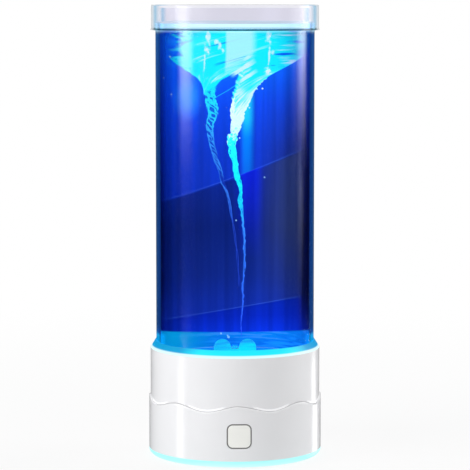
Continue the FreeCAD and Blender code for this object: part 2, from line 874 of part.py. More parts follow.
def funnel_radius(share, bowl_radius):
    """The funnel's radius at a share of its depth."""
    core = cell("funnel_core_radius").value * math.exp(-share / CORE_FADE)
    bowl = bowl_radius * math.exp(-((share / BOWL_DEPTH) ** 2))
    return (core + bowl) * (1 - share ** TIP_SHARPNESS)


def funnel_centre(share):
    """How far the funnel's middle has swayed from the axis at a share of its depth."""
    swing = math.exp(-(((share - SWING_DEPTH) / SWING_SPAN) ** 2))
    late_swing = math.exp(-(((share - SWING_DEPTH - SWING_SPAN) / SWING_SPAN) ** 2))
    drift = 1 - math.exp(-((share / DRIFT_DEPTH) ** 6))
    x = cell("funnel_drift").value * drift - cell("funnel_swing").value * swing
    y = cell("funnel_swing").value * 0.5 * late_swing
    return x, y


def funnel_shape():
    """The hollow of the funnel, lofted through round sections."""
    tip = swept_top.value + cell("funnel_tip_gap").value
    depth = water_top.value - tip
    bowl_radius = water_radius.value - cell("funnel_rim").value - cell("funnel_core_radius").value
    sections = []
    for number in range(FUNNEL_SECTIONS):
        share = FUNNEL_END * number / (FUNNEL_SECTIONS - 1)
        x, y = funnel_centre(share)
        x = x * min(1, share / BOWL_DEPTH)
        y = y * min(1, share / BOWL_DEPTH)
        centre = FreeCAD.Vector(x, y, water_top.value - depth * share)
        ring = Part.makeCircle(funnel_radius(share, bowl_radius), centre)
        sections.append(Part.Wire([ring]))
    return Part.makeLoft(sections, True, False)


def make_water():
    """The water that fills the tank, hollowed by the funnel and the impeller's swept space."""
    height = water_top.value - floor_top.value
    bottom = FreeCAD.Vector(0, 0, floor_top.value)
    body = Part.makeCylinder(water_radius.value, height, bottom)
    swept = Part.makeCylinder(swept_radius.value, swept_top.value - floor_top.value, bottom)
    water = doc.addObject("Part::Feature", "water")
    water.Shape = body.cut(swept).cut(funnel_shape())
    NODES.append(water)


def make_lid():
    """The clear lid: a skirt round the tube, a shoulder on the seal and a flat top."""
    body = new_body("lid")
    skirt_bore = tube + cell("lid_gap")
    outside = skirt_bore + cell("lid_wall")
    lip_top = lid_bottom + cell("lid_lip_height")
    seal_bore = tube - cell("lid_seal_width")
    turn(body, "cap", [
        (skirt_bore, lid_bottom), (outside + cell("lid_lip"), lid_bottom),
        (outside + cell("lid_lip"), lip_top), (outside, lip_top), (outside, lid_height),
        (0, lid_height), (0, lid_ceiling), (seal_bore, lid_ceiling), (seal_bore, lid_shoulder),
        (skirt_bore, lid_shoulder),
    ])
    dress(body, "top_edge", "Chamfer", cell("lid_bevel"), ring_edge(outside, lid_height))


def make_lid_seal():
    body = new_body("lid_seal")
    seal_bore = tube - cell("lid_seal_width")
    turn(body, "ring", [
        (seal_bore, tube_top), (tube, tube_top), (tube, lid_shoulder), (seal_bore, lid_shoulder),
    ])


# Impeller

def make_impeller():
    """Two rounded paddles on a disc, bored for the bush and recessed below for the magnets."""
    body = new_body("impeller")
    bore = bush_radius + PRESS
    half = cell("blade_thickness") / 2
    inner = bore + SLIP
    root = disc_top - cell("impeller_disc_height") / 2
    blade = front_pad(body, "blade", [dome(inner, cell("blade_reach"), root, blade_top)], -half, half)
    around(body, [blade], 2)

    def blade_rim(edge):
        return isinstance(edge.Curve, Part.Circle)

    dress(body, "blade_rim", "Fillet", cell("blade_round"), blade_rim)
    turn(body, "disc", [
        (bore, impeller_bottom), (cell("impeller_disc_radius"), impeller_bottom),
        (cell("impeller_disc_radius"), disc_top), (cell("impeller_hub_radius"), disc_top),
        (cell("impeller_hub_radius"), hub_top), (bore, hub_top),
    ])
    pocket(body, "magnet_recess", [
        circle(cell("impeller_magnet_radius") + RUN, cell("impeller_magnet_ring")),
        circle(cell("impeller_magnet_radius") + RUN, -cell("impeller_magnet_ring")),
    ], impeller_bottom, impeller_bottom + cell("impeller_magnet_height") + SLIP)


def make_impeller_bush():
    body = new_body("impeller_bush")
    bore = cell("spindle_radius") + RUN
    turn(body, "bush", [
        (bore, impeller_bottom), (bush_radius, impeller_bottom), (bush_radius, hub_top),
        (bore, hub_top),
    ])


def make_magnet_pair(name, radius, ring, bottom, top):
    """Two round magnets on opposite sides of the axis."""
    body = new_body(name)
    pad(body, "magnets", [circle(radius, ring), circle(radius, -ring)], bottom, top)


# Motor deck, light board and lights

def make_motor_deck():
    """The deck that carries the motor below and the light board above, notched for the posts."""
    body = new_body("motor_deck")
    pad(body, "disc", [circle(deck_radius)], deck_bottom, deck_top)
    notch = pocket(body, "post_notch", [
        circle(cell("post_radius") + cell("housing_gap") * 2, *on_ring(post_ring, POST_ANGLE)),
    ], deck_bottom, deck_top)
    standoff = pad(body, "standoff", [
        circle(cell("standoff_radius"), *on_ring(light_screw_ring, POST_ANGLE)),
    ], deck_top, light_board_bottom)
    pilot = pocket(body, "standoff_pilot", [
        circle(PILOT, *on_ring(light_screw_ring, POST_ANGLE)),
    ], deck_bottom, light_board_bottom)
    hole = pocket(body, "screw_hole", [circle(SCREW + SLIP, deck_screw_ring)], deck_bottom, deck_top)
    around(body, [notch, standoff, pilot, hole], POSTS)
    small = cell("small_screw_radius") + SLIP
    pocket(body, "middle_holes", [
        circle(cell("bearing_radius") + cell("housing_gap") * 2),
        circle(small, cell("motor_screw_ring")),
        circle(small, -cell("motor_screw_ring")),
        circle(cell("wire_hole"), *on_ring(wire_ring, WIRE_ANGLE)),
    ], deck_bottom, deck_top)


def make_light_board():
    body = new_body("light_board")
    pad(body, "disc", [circle(light_board_radius), circle(light_board_bore)],
        light_board_bottom, light_board_top)
    hole = pocket(body, "screw_hole", [
        circle(SCREW + SLIP, *on_ring(light_screw_ring, POST_ANGLE)),
    ], light_board_bottom, light_board_top)
    around(body, [hole], POSTS)


def make_lights():
    body = new_body("light_emitters")
    half = cell("light_size") / 2
    ring = cell("light_ring")
    light = pad(body, "light", [rectangle(ring - half, ring + half, -half, half)],
                light_board_top, light_board_top + cell("light_height"))
    around(body, [light], LIGHTS)


# Motor

def make_motor_can():
    body = new_body("motor_can")
    hole = cell("bearing_radius") + RUN
    roof = deck_bottom - cell("motor_wall")
    turn(body, "can", [
        (motor_bore, motor_mouth), (motor, motor_mouth), (motor, deck_bottom),
        (hole, deck_bottom), (hole, roof), (motor_bore, roof),
    ])
    small = cell("small_screw_radius") + RUN
    ring = cell("motor_screw_ring")
    pocket(body, "screw_holes", [circle(small, ring), circle(small, -ring)], roof, deck_bottom)


def make_motor_bearing():
    body = new_body("motor_bearing")
    roof = deck_bottom - cell("motor_wall")
    bore = shaft + RUN
    outside = cell("bearing_radius")
    top = deck_bottom + cell("deck_thickness") / 2
    flange = roof - cell("motor_wall")
    turn(body, "bearing", [
        (bore, flange), (cell("bearing_flange"), flange), (cell("bearing_flange"), roof),
        (outside, roof), (outside, top), (bore, top),
    ])


def make_motor_magnets():
    body = new_body("motor_magnets")
    outer = motor_bore - SLIP
    inner = outer - cell("field_magnet")
    pad(body, "ring", [circle(outer), circle(inner)], field_bottom, field_top)
    half = cell("field_split") / 2
    pocket(body, "split", [rectangle(-half, half, -motor, motor)], field_bottom, field_top)


def make_motor_end_cap():
    """The plastic end cap, with a blind hole that steadies the shaft's lower end."""
    body = new_body("motor_end_cap")
    spigot = motor_bore - SLIP
    spigot_bore = spigot - cell("motor_wall")
    spigot_top = motor_mouth + cell("motor_wall")
    bore = shaft + RUN
    pocket_floor = motor_end + cell("end_cap_thickness") / 8
    turn(body, "cap", [
        (0, motor_end), (motor, motor_end), (motor, motor_mouth), (spigot, motor_mouth),
        (spigot, spigot_top), (spigot_bore, spigot_top), (spigot_bore, motor_mouth),
        (bore, motor_mouth), (bore, pocket_floor), (0, pocket_floor),
    ])


def make_motor_terminals():
    body = new_body("motor_terminals")
    half = cell("terminal_width") / 2
    thin = cell("terminal_thickness") / 2
    reach = cell("terminal_reach")
    pad(body, "tabs", [
        rectangle(reach - half, reach + half, -thin, thin),
        rectangle(-reach - half, -reach + half, -thin, thin),
    ], motor_end - cell("terminal_length"), motor_end)


def make_motor_shaft():
    rod = doc.addObject("Part::Cylinder", "motor_shaft")
    bind(rod, "Radius", shaft)
    bind(rod, "Height", shaft_top - shaft_end)
    bind(rod, "Placement.Base.z", shaft_end)
    NODES.append(rod)


def make_motor_armature():
    """Three iron poles on a hub, each ending in a curved shoe."""
    body = new_body("motor_armature")
    low = field_bottom + cell("motor_wall")
    high = field_top - cell("motor_wall")
    shoe = armature_radius - cell("field_magnet")
    pad(body, "hub", [circle(cell("bearing_radius")), circle(shaft + PRESS)], low, high)
    half = cell("terminal_width") / 2
    stem = pad(body, "pole", [
        rectangle(cell("bearing_radius") - half, shoe + cell("field_magnet") / 2, -half, half),
    ], low, high)
    around(body, [stem], 3)
    pad(body, "shoe_ring", [circle(armature_radius), circle(shoe)], low, high)
    slot = pocket(body, "slot", [
        rectangle(-armature_radius - half, -shoe + half, -half, half),
    ], low, high)
    around(body, [slot], 3)


def make_magnet_carrier():
    """The disc on top of the shaft, with a long hub below and two magnets in its top."""
    body = new_body("magnet_carrier")
    bore = shaft + PRESS
    hub = cell("carrier_hub_radius")
    radius = cell("carrier_radius")
    turn(body, "disc", [
        (bore, carrier_hub_end), (hub, carrier_hub_end), (hub, carrier_bottom),
        (radius, carrier_bottom), (radius, carrier_top), (0, carrier_top),
        (0, shaft_top + PRESS), (bore, shaft_top + PRESS),
    ])
    recess = cell("drive_magnet_radius") + RUN
    ring = cell("drive_magnet_ring")
    pocket(body, "magnet_recess", [circle(recess, ring), circle(recess, -ring)],
           carrier_top - cell("drive_magnet_height"), carrier_top)


# Main board, what it carries, and the power inlet

def make_main_board():
    """A round board with a tongue at the back that carries the power inlet."""
    body = new_body("main_board")
    pad(body, "disc", [circle(board_radius)], board_bottom, board_top)
    half = cell("jack_width") / 2 + cell("board_margin")
    pad(body, "tongue", [rectangle(-half, half, board_radius - half, jack_face - cell("board_margin"))],
        board_bottom, board_top)
    hole = pocket(body, "screw_hole", [circle(SCREW + SLIP, *on_ring(board_screw_ring, POST_ANGLE))],
                  board_bottom, board_top)
    around(body, [hole], POSTS)


def header_centres():
    """Where the wire headers stand: for the motor, the switch and the light board."""
    motor_header = (0, cell("motor_header_reach"))
    switch_header = (0, -cell("switch_header_reach"))
    return [motor_header, switch_header, on_ring(wire_ring, WIRE_ANGLE)]


def make_wire_headers():
    body = new_body("wire_headers")
    wide = cell("header_width") / 2
    deep = cell("header_depth") / 2
    drawings = []
    for x, y in header_centres():
        drawings.append(rectangle(x - wide, x + wide, y - deep, y + deep))
    pad(body, "headers", drawings, board_top, board_top + cell("header_height"))


def make_chip():
    body = new_body("controller_chip")
    half = cell("chip_width") / 2
    x = -cell("chip_left")
    y = -cell("chip_front")
    pad(body, "chip", [rectangle(x - half, x + half, y - half, y + half)],
        board_top, board_top + cell("chip_height"))


def make_capacitor():
    body = new_body("capacitor")
    place = (cell("capacitor_right"), -cell("capacitor_front"))
    pad(body, "can", [circle(cell("capacitor_radius"), *place)],
        board_top, board_top + cell("capacitor_height"))


def make_side_lights():
    """Lights under the board's edge that shine out into the glow ring."""
    body = new_body("glow_lights")
    size = cell("side_light_size")
    light = pad(body, "light", [
        slanted_rectangle(board_radius - size / 2 - SLIP, SIDE_LIGHT_ANGLE, size, size),
    ], board_bottom - cell("side_light_height"), board_bottom)
    around(body, [light], SIDE_LIGHTS)


def make_power_inlet():
    body = new_body("power_inlet")
    half = cell("jack_width") / 2
    pad(body, "housing", [rectangle(-half, half, jack_back, jack_face)],
        board_top, board_top + cell("jack_height"))
    front_pad(body, "nose", [circle(cell("jack_nose_radius"), 0, jack_z)],
              jack_face, jack_nose)
    front_pocket(body, "bore", [circle(cell("jack_bore_radius"), 0, jack_z)],
                 jack_nose - cell("jack_bore_depth"), jack_nose)
    root = jack_nose - cell("jack_bore_depth") - cell("jack_nose_length")
    front_pocket(body, "pin_hole", [circle(cell("jack_pin_radius") + PRESS, 0, jack_z)], root, jack_nose)
    pin = new_body("inlet_pin")
    front_pad(pin, "pin", [circle(cell("jack_pin_radius"), 0, jack_z)],
              root, jack_nose - cell("jack_pin_radius"))


# Push button and its switch

def make_power_button():
    """A square button with a face curved like the shell, a hidden flange and a stem."""
    body = new_body("power_button")
    front = -(lower_radius + cell("lower_wall"))
    front_pad(body, "head", [
        rectangle(-button_half, button_half, button_z - button_half, button_z + button_half),
    ], front, -flange_front)
    dress(body, "corners", "Fillet", cell("button_corner"), depth_edge)
    pocket(body, "curved_face", [circle(lower_radius), circle(lower_radius * 1.2)],
           button_z - flange_half, button_z + flange_half)
    front_pad(body, "flange", [
        rectangle(-flange_half, flange_half, button_z - flange_half, button_z + flange_half),
    ], -flange_front, -flange_back)
    half = cell("stem_width") / 2
    front_pad(body, "stem", [rectangle(-half, half, button_z - half, button_z + half)],
              -flange_back, -stem_end)


def make_switch_plunger():
    body = new_body("switch_plunger")
    front_pad(body, "plunger", [circle(cell("plunger_radius"), 0, button_z)],
              -stem_end, -(switch_front - cell("plunger_depth")))


def make_switch_body():
    body = new_body("switch_body")
    half = cell("switch_width") / 2
    front_pad(body, "case", [rectangle(-half, half, button_z - half, button_z + half)],
              -switch_front, -switch_back)
    depth = cell("plunger_depth") + cell("button_travel") + cell("lid_gap")
    front_pocket(body, "plunger_bore", [circle(cell("plunger_radius") + SLIP, 0, button_z)],
                 -switch_front, -(switch_front - depth))


def make_switch_board():
    body = new_body("switch_board")
    half = cell("switch_board_width") / 2
    front_pad(body, "board", [rectangle(-half, half, switch_low, switch_high)],
              -switch_back, -switch_board_back)
    reach = cell("switch_screw_reach")
    hole = cell("small_screw_radius") + SLIP
    front_pocket(body, "screw_holes", [circle(hole, reach, button_z), circle(hole, -reach, button_z)],
                 -switch_back, -switch_board_back)


def make_switch_bracket():
    """A goalpost on the base plate that holds the switch board upright behind the button."""
    body = new_body("switch_bracket")
    half = cell("bracket_width") / 2
    thick = cell("bracket_thickness")
    foot_back = -switch_board_back + cell("bracket_foot")
    pad(body, "foot", [rectangle(-half, half, -switch_board_back, foot_back)],
        plate_top, plate_top + thick)
    front_pad(body, "frame", [rectangle(-half, half, plate_top, switch_high)],
              -switch_board_back, -bracket_back)
    inside = half - cell("bracket_upright")
    front_pocket(body, "window", [
        rectangle(-inside, inside, plate_top + thick, switch_high - thick),
    ], -switch_board_back, -bracket_back)
    pilot = cell("small_screw_radius") + RUN
    reach = cell("switch_screw_reach")
    front_pocket(body, "screw_holes", [circle(pilot, reach, button_z), circle(pilot, -reach, button_z)],
                 -switch_board_back, -bracket_back)


def make_switch_screws():
    body = new_body("switch_screws")
    reach = cell("switch_screw_reach")
    shank = cell("small_screw_radius")
    centres = ((reach, button_z), (-reach, button_z))
    head = cell("small_head_radius")
    front_pad(body, "heads", [many_sided(head, SCREW_SIDES, x, z) for x, z in centres],
              -(switch_back + HEAD_HEIGHT), -switch_back)
    front_pad(body, "shanks", [many_sided(shank, SCREW_SIDES, x, z) for x, z in centres],
              -switch_back, -bracket_back)


# Wires: each is a tube along straight runs joined by arcs that touch both runs

ARC_SHARE = 0.45


def route_edges(points):
    """Straight runs with an arc at each inner point, and the smallest arc's radius."""
    edges = []
    radii = []
    start = points[0]
    for before, corner, after in zip(points, points[1:], points[2:]):
        come = (before - corner)
        go = (after - corner)
        reach = ARC_SHARE * min(come.Length, go.Length)
        come.normalize()
        go.normalize()
        half_turn = (math.pi - come.getAngle(go)) / 2
        radius = reach / math.tan(half_turn)
        radii.append(radius)
        leave = corner + come * reach
        join = corner + go * reach
        inward = come + go
        inward.normalize()
        middle = corner + inward * (radius / math.cos(half_turn) - radius)
        edges.append(Part.LineSegment(start, leave).toShape())
        edges.append(Part.Arc(leave, middle, join).toShape())
        start = join
    edges.append(Part.LineSegment(start, points[-1]).toShape())
    return edges, min(radii)


def wire_section(centre, direction, radius):
    """The corners of a wire's section, square to the direction that it sets out in."""
    turned = FreeCAD.Rotation(FreeCAD.Vector(0, 0, 1), direction)
    corners = []
    for side in range(WIRE_SIDES + 1):
        angle = 2 * math.pi * side / WIRE_SIDES
        flat = FreeCAD.Vector(radius * math.cos(angle), radius * math.sin(angle), 0)
        corners.append(centre + turned.multVec(flat))
    return corners


def wire_solid(points):
    """One insulated wire, checked against its section times its length."""
    radius = cell("wire_radius").value
    edges, tightest = route_edges(points)
    path = Part.Wire(edges)
    section = Part.makePolygon(wire_section(points[0], points[1] - points[0], radius))
    tube_shape = path.makePipeShell([section], True, False)
    expected = WIRE_SIDES / 2 * radius ** 2 * math.sin(2 * math.pi / WIRE_SIDES) * path.Length
    if abs(tube_shape.Volume / expected - 1) > 0.01:
        raise RuntimeError("a wire's volume is wrong")
    return tube_shape, tightest


def make_wires(name, routes):
    """A node of loose wires that run side by side."""
    solids = []
    for route in routes:
        solid, tightest = wire_solid([FreeCAD.Vector(*[float(v) for v in point]) for point in route])
        solids.append(solid)
        print(f"{name}: smallest radius {tightest:.1f} mm")
    wires = doc.addObject("Part::Feature", name)
    wires.Shape = Part.makeCompound(solids)
    NODES.append(wires)


def make_motor_wires():
    """From the motor's tabs down and back to the motor's header."""
    header_side = cell("motor_header_reach") - cell("header_depth") / 2
    low = board_top + cell("header_height") / 2
    top = motor_end - cell("terminal_length")
    reach = cell("terminal_reach")
    apart = cell("wire_pitch") / 2
    routes = []
    for side in (-1, 1):
        routes.append([
            (reach * side, 0, top),
            (reach * side, 0, top - cell("wire_lead")),
            (reach * side - apart * side / 2, header_side / 4, low),
            (apart * side, header_side * (2 / 3), low),
            (apart * side, header_side, low),
        ])
    make_wires("motor_wires", routes)


def make_light_wires():
    """From the light board down through the deck to its header."""
    x, y = on_ring(wire_ring, WIRE_ANGLE)
    low = board_top + cell("header_height")
    apart = cell("wire_pitch") / 2
    routes = []
    for side in (-1, 1):
        routes.append([
            (x + apart * side, y, light_board_bottom),
            (x + apart * side, y, deck_bottom - cell("wire_bow")),
            (x + apart * side * 2, y - cell("wire_bow"), (deck_bottom + low) / 2),
            (x + apart * side, y, low + cell("wire_lead")),
            (x + apart * side, y, low),
        ])
    make_wires("light_wires", routes)


def make_switch_wires():
    """From the back of the switch board through the bracket's window to the switch's header."""
    header_side = -cell("switch_header_reach") - cell("header_depth") / 2
    low = board_top + cell("header_height") / 2
    high = switch_low + cell("wire_pitch")
    start = -switch_board_back
    span = header_side - start
    apart = cell("wire_pitch") / 2
    routes = []
    for side in (-1, 1):
        routes.append([
            (apart * side, start, high),
            (apart * side, start + span / 3, high),
            (apart * side, start + span * (2 / 3), low),
            (apart * side, header_side, low),
        ])
    make_wires("switch_wires", routes)


def make_everything():
    """Make every sub-part, from the table up and from the outside in."""
    make_foot_pads()
    make_base_plate()
    make_base_screws()
    make_glow_ring()
    make_lower_shell()
    make_upper_shell()
    make_light_collar()
    make_tank_tube()
    make_tank_floor()
    make_tank_seal()
    make_spindle()
    make_water()
    make_lid()
    make_lid_seal()
    make_impeller()
    make_impeller_bush()
    make_magnet_pair("impeller_magnets", cell("impeller_magnet_radius"),
                     cell("impeller_magnet_ring"), impeller_bottom,
                     impeller_bottom + cell("impeller_magnet_height"))
    make_motor_deck()
    body, screw = screws("deck_screws", deck_bottom, deck_screw_ring, 0, 1,
                         HEAD, SCREW, cell("short_screw"))
    around(body, screw, POSTS)
    make_light_board()
    body, screw = screws("light_board_screws", light_board_top, light_screw_ring, POST_ANGLE, -1,
                         HEAD, SCREW, cell("short_screw"))
    around(body, screw, POSTS)
    make_lights()
    make_motor_can()
    make_motor_bearing()
    make_motor_magnets()
    make_motor_end_cap()
    make_motor_terminals()
    body, screw = screws("motor_screws", deck_top, cell("motor_screw_ring"), 0, -1,
                         cell("small_head_radius"), cell("small_screw_radius"),
                         cell("deck_thickness") + cell("motor_wall") * 1.5)
    around(body, screw, 2)
    make_motor_shaft()
    make_motor_armature()
    make_magnet_carrier()
    make_magnet_pair("drive_magnets", cell("drive_magnet_radius"), cell("drive_magnet_ring"),
                     carrier_top - cell("drive_magnet_height"), carrier_top)
    make_main_board()
    body, screw = screws("main_board_screws", board_top, board_screw_ring, POST_ANGLE, -1,
                         HEAD, SCREW, cell("short_screw"))
    around(body, screw, POSTS)
    make_wire_headers()
    make_chip()
    make_capacitor()
    make_side_lights()
    make_power_inlet()
    make_power_button()
    make_switch_plunger()
    make_switch_body()
    make_switch_board()
    make_switch_bracket()
    make_switch_screws()
    make_motor_wires()
    make_light_wires()
    make_switch_wires()


def check_and_export():
    """Refuse a failed feature or an unsound shape, then write one file for each piece."""
    doc.recompute()
    for item in doc.Objects:
        if "Invalid" in item.State or "Error" in item.State:
            raise RuntimeError(f"{item.Label} failed: {item.State}")
    os.makedirs("parts", exist_ok=True)
    for node in NODES:
        if node.Shape.isNull() or not node.Shape.isValid() or not node.Shape.Solids:
            raise RuntimeError(f"{node.Label} has no sound shape")
    for node in NODES:
        node.Shape.exportStep(f"parts/{node.Label}.step")
    print(f"{len(NODES)} pieces written")


make_everything()
check_and_export()
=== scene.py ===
# %% [markdown]
# # A tornado lamp, dressed over its engineering model
# The real lamp is a clear acrylic tank of blue water on a white base. A motor in the
# base turns a magnet, the magnet turns a small impeller under the water, and the
# swirl that it makes hangs from the surface as a bright funnel. The solid pieces come
# from the engineering model. The water and its funnel are made here, because they
# are light and foam more than they are shapes.

# %% Load the engineering model
import math

import bpy
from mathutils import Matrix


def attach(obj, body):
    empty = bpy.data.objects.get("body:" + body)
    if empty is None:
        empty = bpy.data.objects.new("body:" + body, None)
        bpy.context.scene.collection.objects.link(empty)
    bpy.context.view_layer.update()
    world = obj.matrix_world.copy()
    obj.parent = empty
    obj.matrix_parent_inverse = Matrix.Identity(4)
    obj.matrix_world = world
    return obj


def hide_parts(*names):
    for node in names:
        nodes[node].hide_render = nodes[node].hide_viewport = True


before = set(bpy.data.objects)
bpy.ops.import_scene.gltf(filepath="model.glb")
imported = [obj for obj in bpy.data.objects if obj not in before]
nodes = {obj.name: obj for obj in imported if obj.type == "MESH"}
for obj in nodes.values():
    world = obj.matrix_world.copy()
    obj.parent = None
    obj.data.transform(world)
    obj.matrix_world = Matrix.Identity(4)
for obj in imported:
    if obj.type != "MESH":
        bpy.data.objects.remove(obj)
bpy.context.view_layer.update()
scene = bpy.context.scene
MM = 0.001

# %% [markdown]
# The picture was taken with a long lens from a little over a metre away, from just
# above the lid, looking slightly down. A long lens keeps the tank's sides nearly
# parallel. The camera is placed by its distance, height and two angles.

# %% The camera
EYE_DISTANCE = 1333 * MM
EYE_HEIGHT = 260 * MM
EYE_TURN = math.radians(-2.75)
EYE_TILT = math.radians(5.74)
LENS_LENGTH = 180
SENSOR_WIDTH = 36

camera_data = bpy.data.cameras.new("camera")
camera_data.lens = LENS_LENGTH
camera_data.sensor_width = SENSOR_WIDTH
camera = bpy.data.objects.new("camera", camera_data)
eye_x = EYE_DISTANCE * math.sin(EYE_TURN)
eye_y = -EYE_DISTANCE * math.cos(EYE_TURN)
camera.location = (eye_x, eye_y, EYE_HEIGHT)
camera.rotation_euler = (math.pi / 2 - EYE_TILT, 0, EYE_TURN)
scene.collection.objects.link(camera)
scene.camera = camera
scene.view_settings.view_transform = "Standard"
print("camera at", [round(value, 3) for value in camera.location])

# %% [markdown]
# Every material and every node tree below is built with one small function, which
# adds a node, changes its settings and fills its inputs. It knows shader nodes by the
# end of their names, such as Math or TexNoise. An input that is given another node is
# linked to it. Settings that come back often have short names, such as TIMES for a
# multiplication. Colours are written as the hex codes of a paint program, and they are
# turned to the linear light that the renderer needs.

# %% Helpers for colours and nodes
PLUS = {"operation": "ADD"}
MINUS = {"operation": "SUBTRACT"}
TIMES = {"operation": "MULTIPLY"}
TIMES_PLUS = {"operation": "MULTIPLY_ADD"}
OVER = {"operation": "DIVIDE"}
LARGER = {"operation": "MAXIMUM"}
UNSIGNED = {"operation": "ABSOLUTE"}
LENGTH = {"operation": "LENGTH"}
SMOOTH = {"interpolation_type": "SMOOTHSTEP"}
COLOURS = {"data_type": "RGBA"}
TINT = {"data_type": "RGBA", "blend_type": "MULTIPLY"}


def colour(code):
    """A hex code as linear red, green, blue and alpha."""
    parts = [int(code[place:place + 2], 16) / 255 for place in (1, 3, 5)]
    linear = [part / 12.92 if part < 0.04 else ((part + 0.055) / 1.055) ** 2.4 for part in parts]
    return (*linear, 1.0)


def add(tree, kind, *given, stops=(), **named):
    """Adds a node: a dictionary holds its settings, a list its inputs in order, and the rest go by name."""
    made = tree.nodes.new(kind if "Node" in kind else "ShaderNode" + kind)
    values = []
    for part in given:
        if isinstance(part, dict):
            for name, value in part.items():
                setattr(made, name, value)
        else:
            values = part
    for number, (place, code) in enumerate(stops):
        elements = made.color_ramp.elements
        stop = elements[number] if number < 2 else elements.new(place)
        stop.position = place
        stop.color = colour(code)
    filled = list(zip([socket for socket in made.inputs if socket.enabled], values))
    filled += [(made.inputs[name.replace("_", " ")], value) for name, value in named.items()]
    for socket, value in filled:
        if isinstance(value, str) and value.startswith("#"):
            value = colour(value)
        if isinstance(value, bpy.types.Node):
            value = next(output for output in value.outputs if output.enabled)
        if isinstance(value, bpy.types.NodeSocket):
            tree.links.new(value, socket)
        else:
            socket.default_value = value
    return made


print("mid grey in linear light:", round(colour("#808080")[0], 3))


# %% Helpers for whole materials
def begin(name):
    """A new, empty material with its tree and the piece's own coordinates."""
    material = bpy.data.materials.new(name)
    material.use_nodes = True
    tree = material.node_tree
    tree.nodes.clear()
    place = add(tree, "TexCoord").outputs["Object"]
    return material, tree, place


def any_ray(tree, *kinds):
    """One for rays of the given kinds and zero for all others."""
    path = add(tree, "LightPath")
    seen = path.outputs[kinds[0]]
    for kind in kinds[1:]:
        seen = add(tree, "Math", LARGER, [seen, path.outputs[kind]])
    return seen


def hide_from(thing, *rays):
    """Hides a lamp or a sheet from kinds of rays."""
    for ray in rays:
        setattr(thing, "visible_" + ray, False)


def faded(tree, value, *ramps):
    """A value times ramps, each with what it runs along, its two places in mm and its two ends."""
    for along, low, high, first, last in ramps:
        ramp = add(tree, "MapRange", [along, low * MM, high * MM, first, last])
        value = add(tree, "Math", TIMES, [value, ramp])
    return value


def mottled(tree, place, size, detail, ends, middle=(0.3, 0.7)):
    """A noise of a size in mm whose middle values are drawn out to run between two ends."""
    noise = add(tree, "TexNoise", Vector=place, Scale=1 / (size * MM), Detail=detail)
    return add(tree, "MapRange", [noise, *middle, *ends])


print("helpers: begin, any_ray, hide_from, faded, mottled")

# %% [markdown]
# The studio is a white floor under a white sky. The camera sees both as plain white,
# and so do mirror reflections and what shows through clear plastic. For soft light
# the sky is dimmer, so that the lamps shape the object. The floor keeps a share of
# its own shading for the camera, and so it keeps the object's soft shadow.

# %% The sky
SKY_LIGHT = 0.5

world = bpy.data.worlds.new("white studio")
scene.world = world
world.use_nodes = True
sky = world.node_tree
sky.nodes.clear()
seen = any_ray(sky, "Is Camera Ray", "Is Transmission Ray", "Is Glossy Ray")
level = add(sky, "Mix", [seen, SKY_LIGHT, 1.0])
light = add(sky, "Background", ["#FFFFFF", level])
add(sky, "OutputWorld", [light])
print("sky light for soft rays:", SKY_LIGHT)


# %% The floor
FLOOR_SHADE = 0.14
FLOOR_REACH = 15.0
SHADOW_NEAR = 0.1
SHADOW_FAR = 0.7


def sheet_mesh(name, corners, faces=((0, 1, 2, 3),)):
    """A sheet of one or more four-sided faces."""
    mesh = bpy.data.meshes.new(name)
    mesh.from_pydata(corners, [], faces)
    sheet = bpy.data.objects.new(name, mesh)
    scene.collection.objects.link(sheet)
    return sheet


corners = [(x * FLOOR_REACH, y * FLOOR_REACH, 0) for x, y in ((-1, -1), (1, -1), (1, 1), (-1, 1))]
floor = sheet_mesh("studio_floor", corners)
hide_from(floor, "glossy")
material, tree, place = begin("white paper floor")
paper = add(tree, "BsdfDiffuse", Color="#F4F4F4")
white = add(tree, "Emission", Color="#FFFFFF")
seen = any_ray(tree, "Is Camera Ray", "Is Transmission Ray")
far = add(tree, "VectorMath", LENGTH, [place]).outputs["Value"]
shade = add(tree, "MapRange", SMOOTH, [far, SHADOW_NEAR, SHADOW_FAR, 1 - FLOOR_SHADE, 1.0])
share = add(tree, "Math", TIMES, [seen, shade])
both = add(tree, "MixShader", [share, paper, white])
add(tree, "OutputMaterial", [both])
floor.data.materials.append(material)
print("share of its own shading that the floor keeps:", FLOOR_SHADE)

# %% [markdown]
# Clear plastic against white needs black flags at its sides, or it looks milky. So a
# ring of black cloth stands round the table, which only mirror reflections see.

# %% The black flags
FLAG_DISTANCE = 1.4
FLAG_FOOT = -1.5
FLAG_TOP = 0.9
FLAGS = 24
corners = []
for number in range(FLAGS):
    angle = 2 * math.pi * number / FLAGS
    spot = (FLAG_DISTANCE * math.cos(angle), FLAG_DISTANCE * math.sin(angle))
    corners += [(*spot, FLAG_FOOT), (*spot, FLAG_TOP)]
ring = 2 * FLAGS
faces = [(foot, (foot + 2) % ring, (foot + 3) % ring, foot + 1) for foot in range(0, ring, 2)]
flags = sheet_mesh("black_flags", corners, faces)
hide_from(flags, "camera", "diffuse", "shadow", "transmission")
material, tree, place = begin("black flag cloth")
cloth = add(tree, "Emission", ["#101012", 1.0])
add(tree, "OutputMaterial", [cloth])
flags.data.materials.append(material)
print("flags:", FLAGS)

# %% [markdown]
# One large soft lamp stands to the left and a weaker one to the right, as on a
# product table. The lamps themselves are kept out of what the camera sees, also
# through clear plastic.

# %% The lamps
LAMP_AIM = 120 * MM


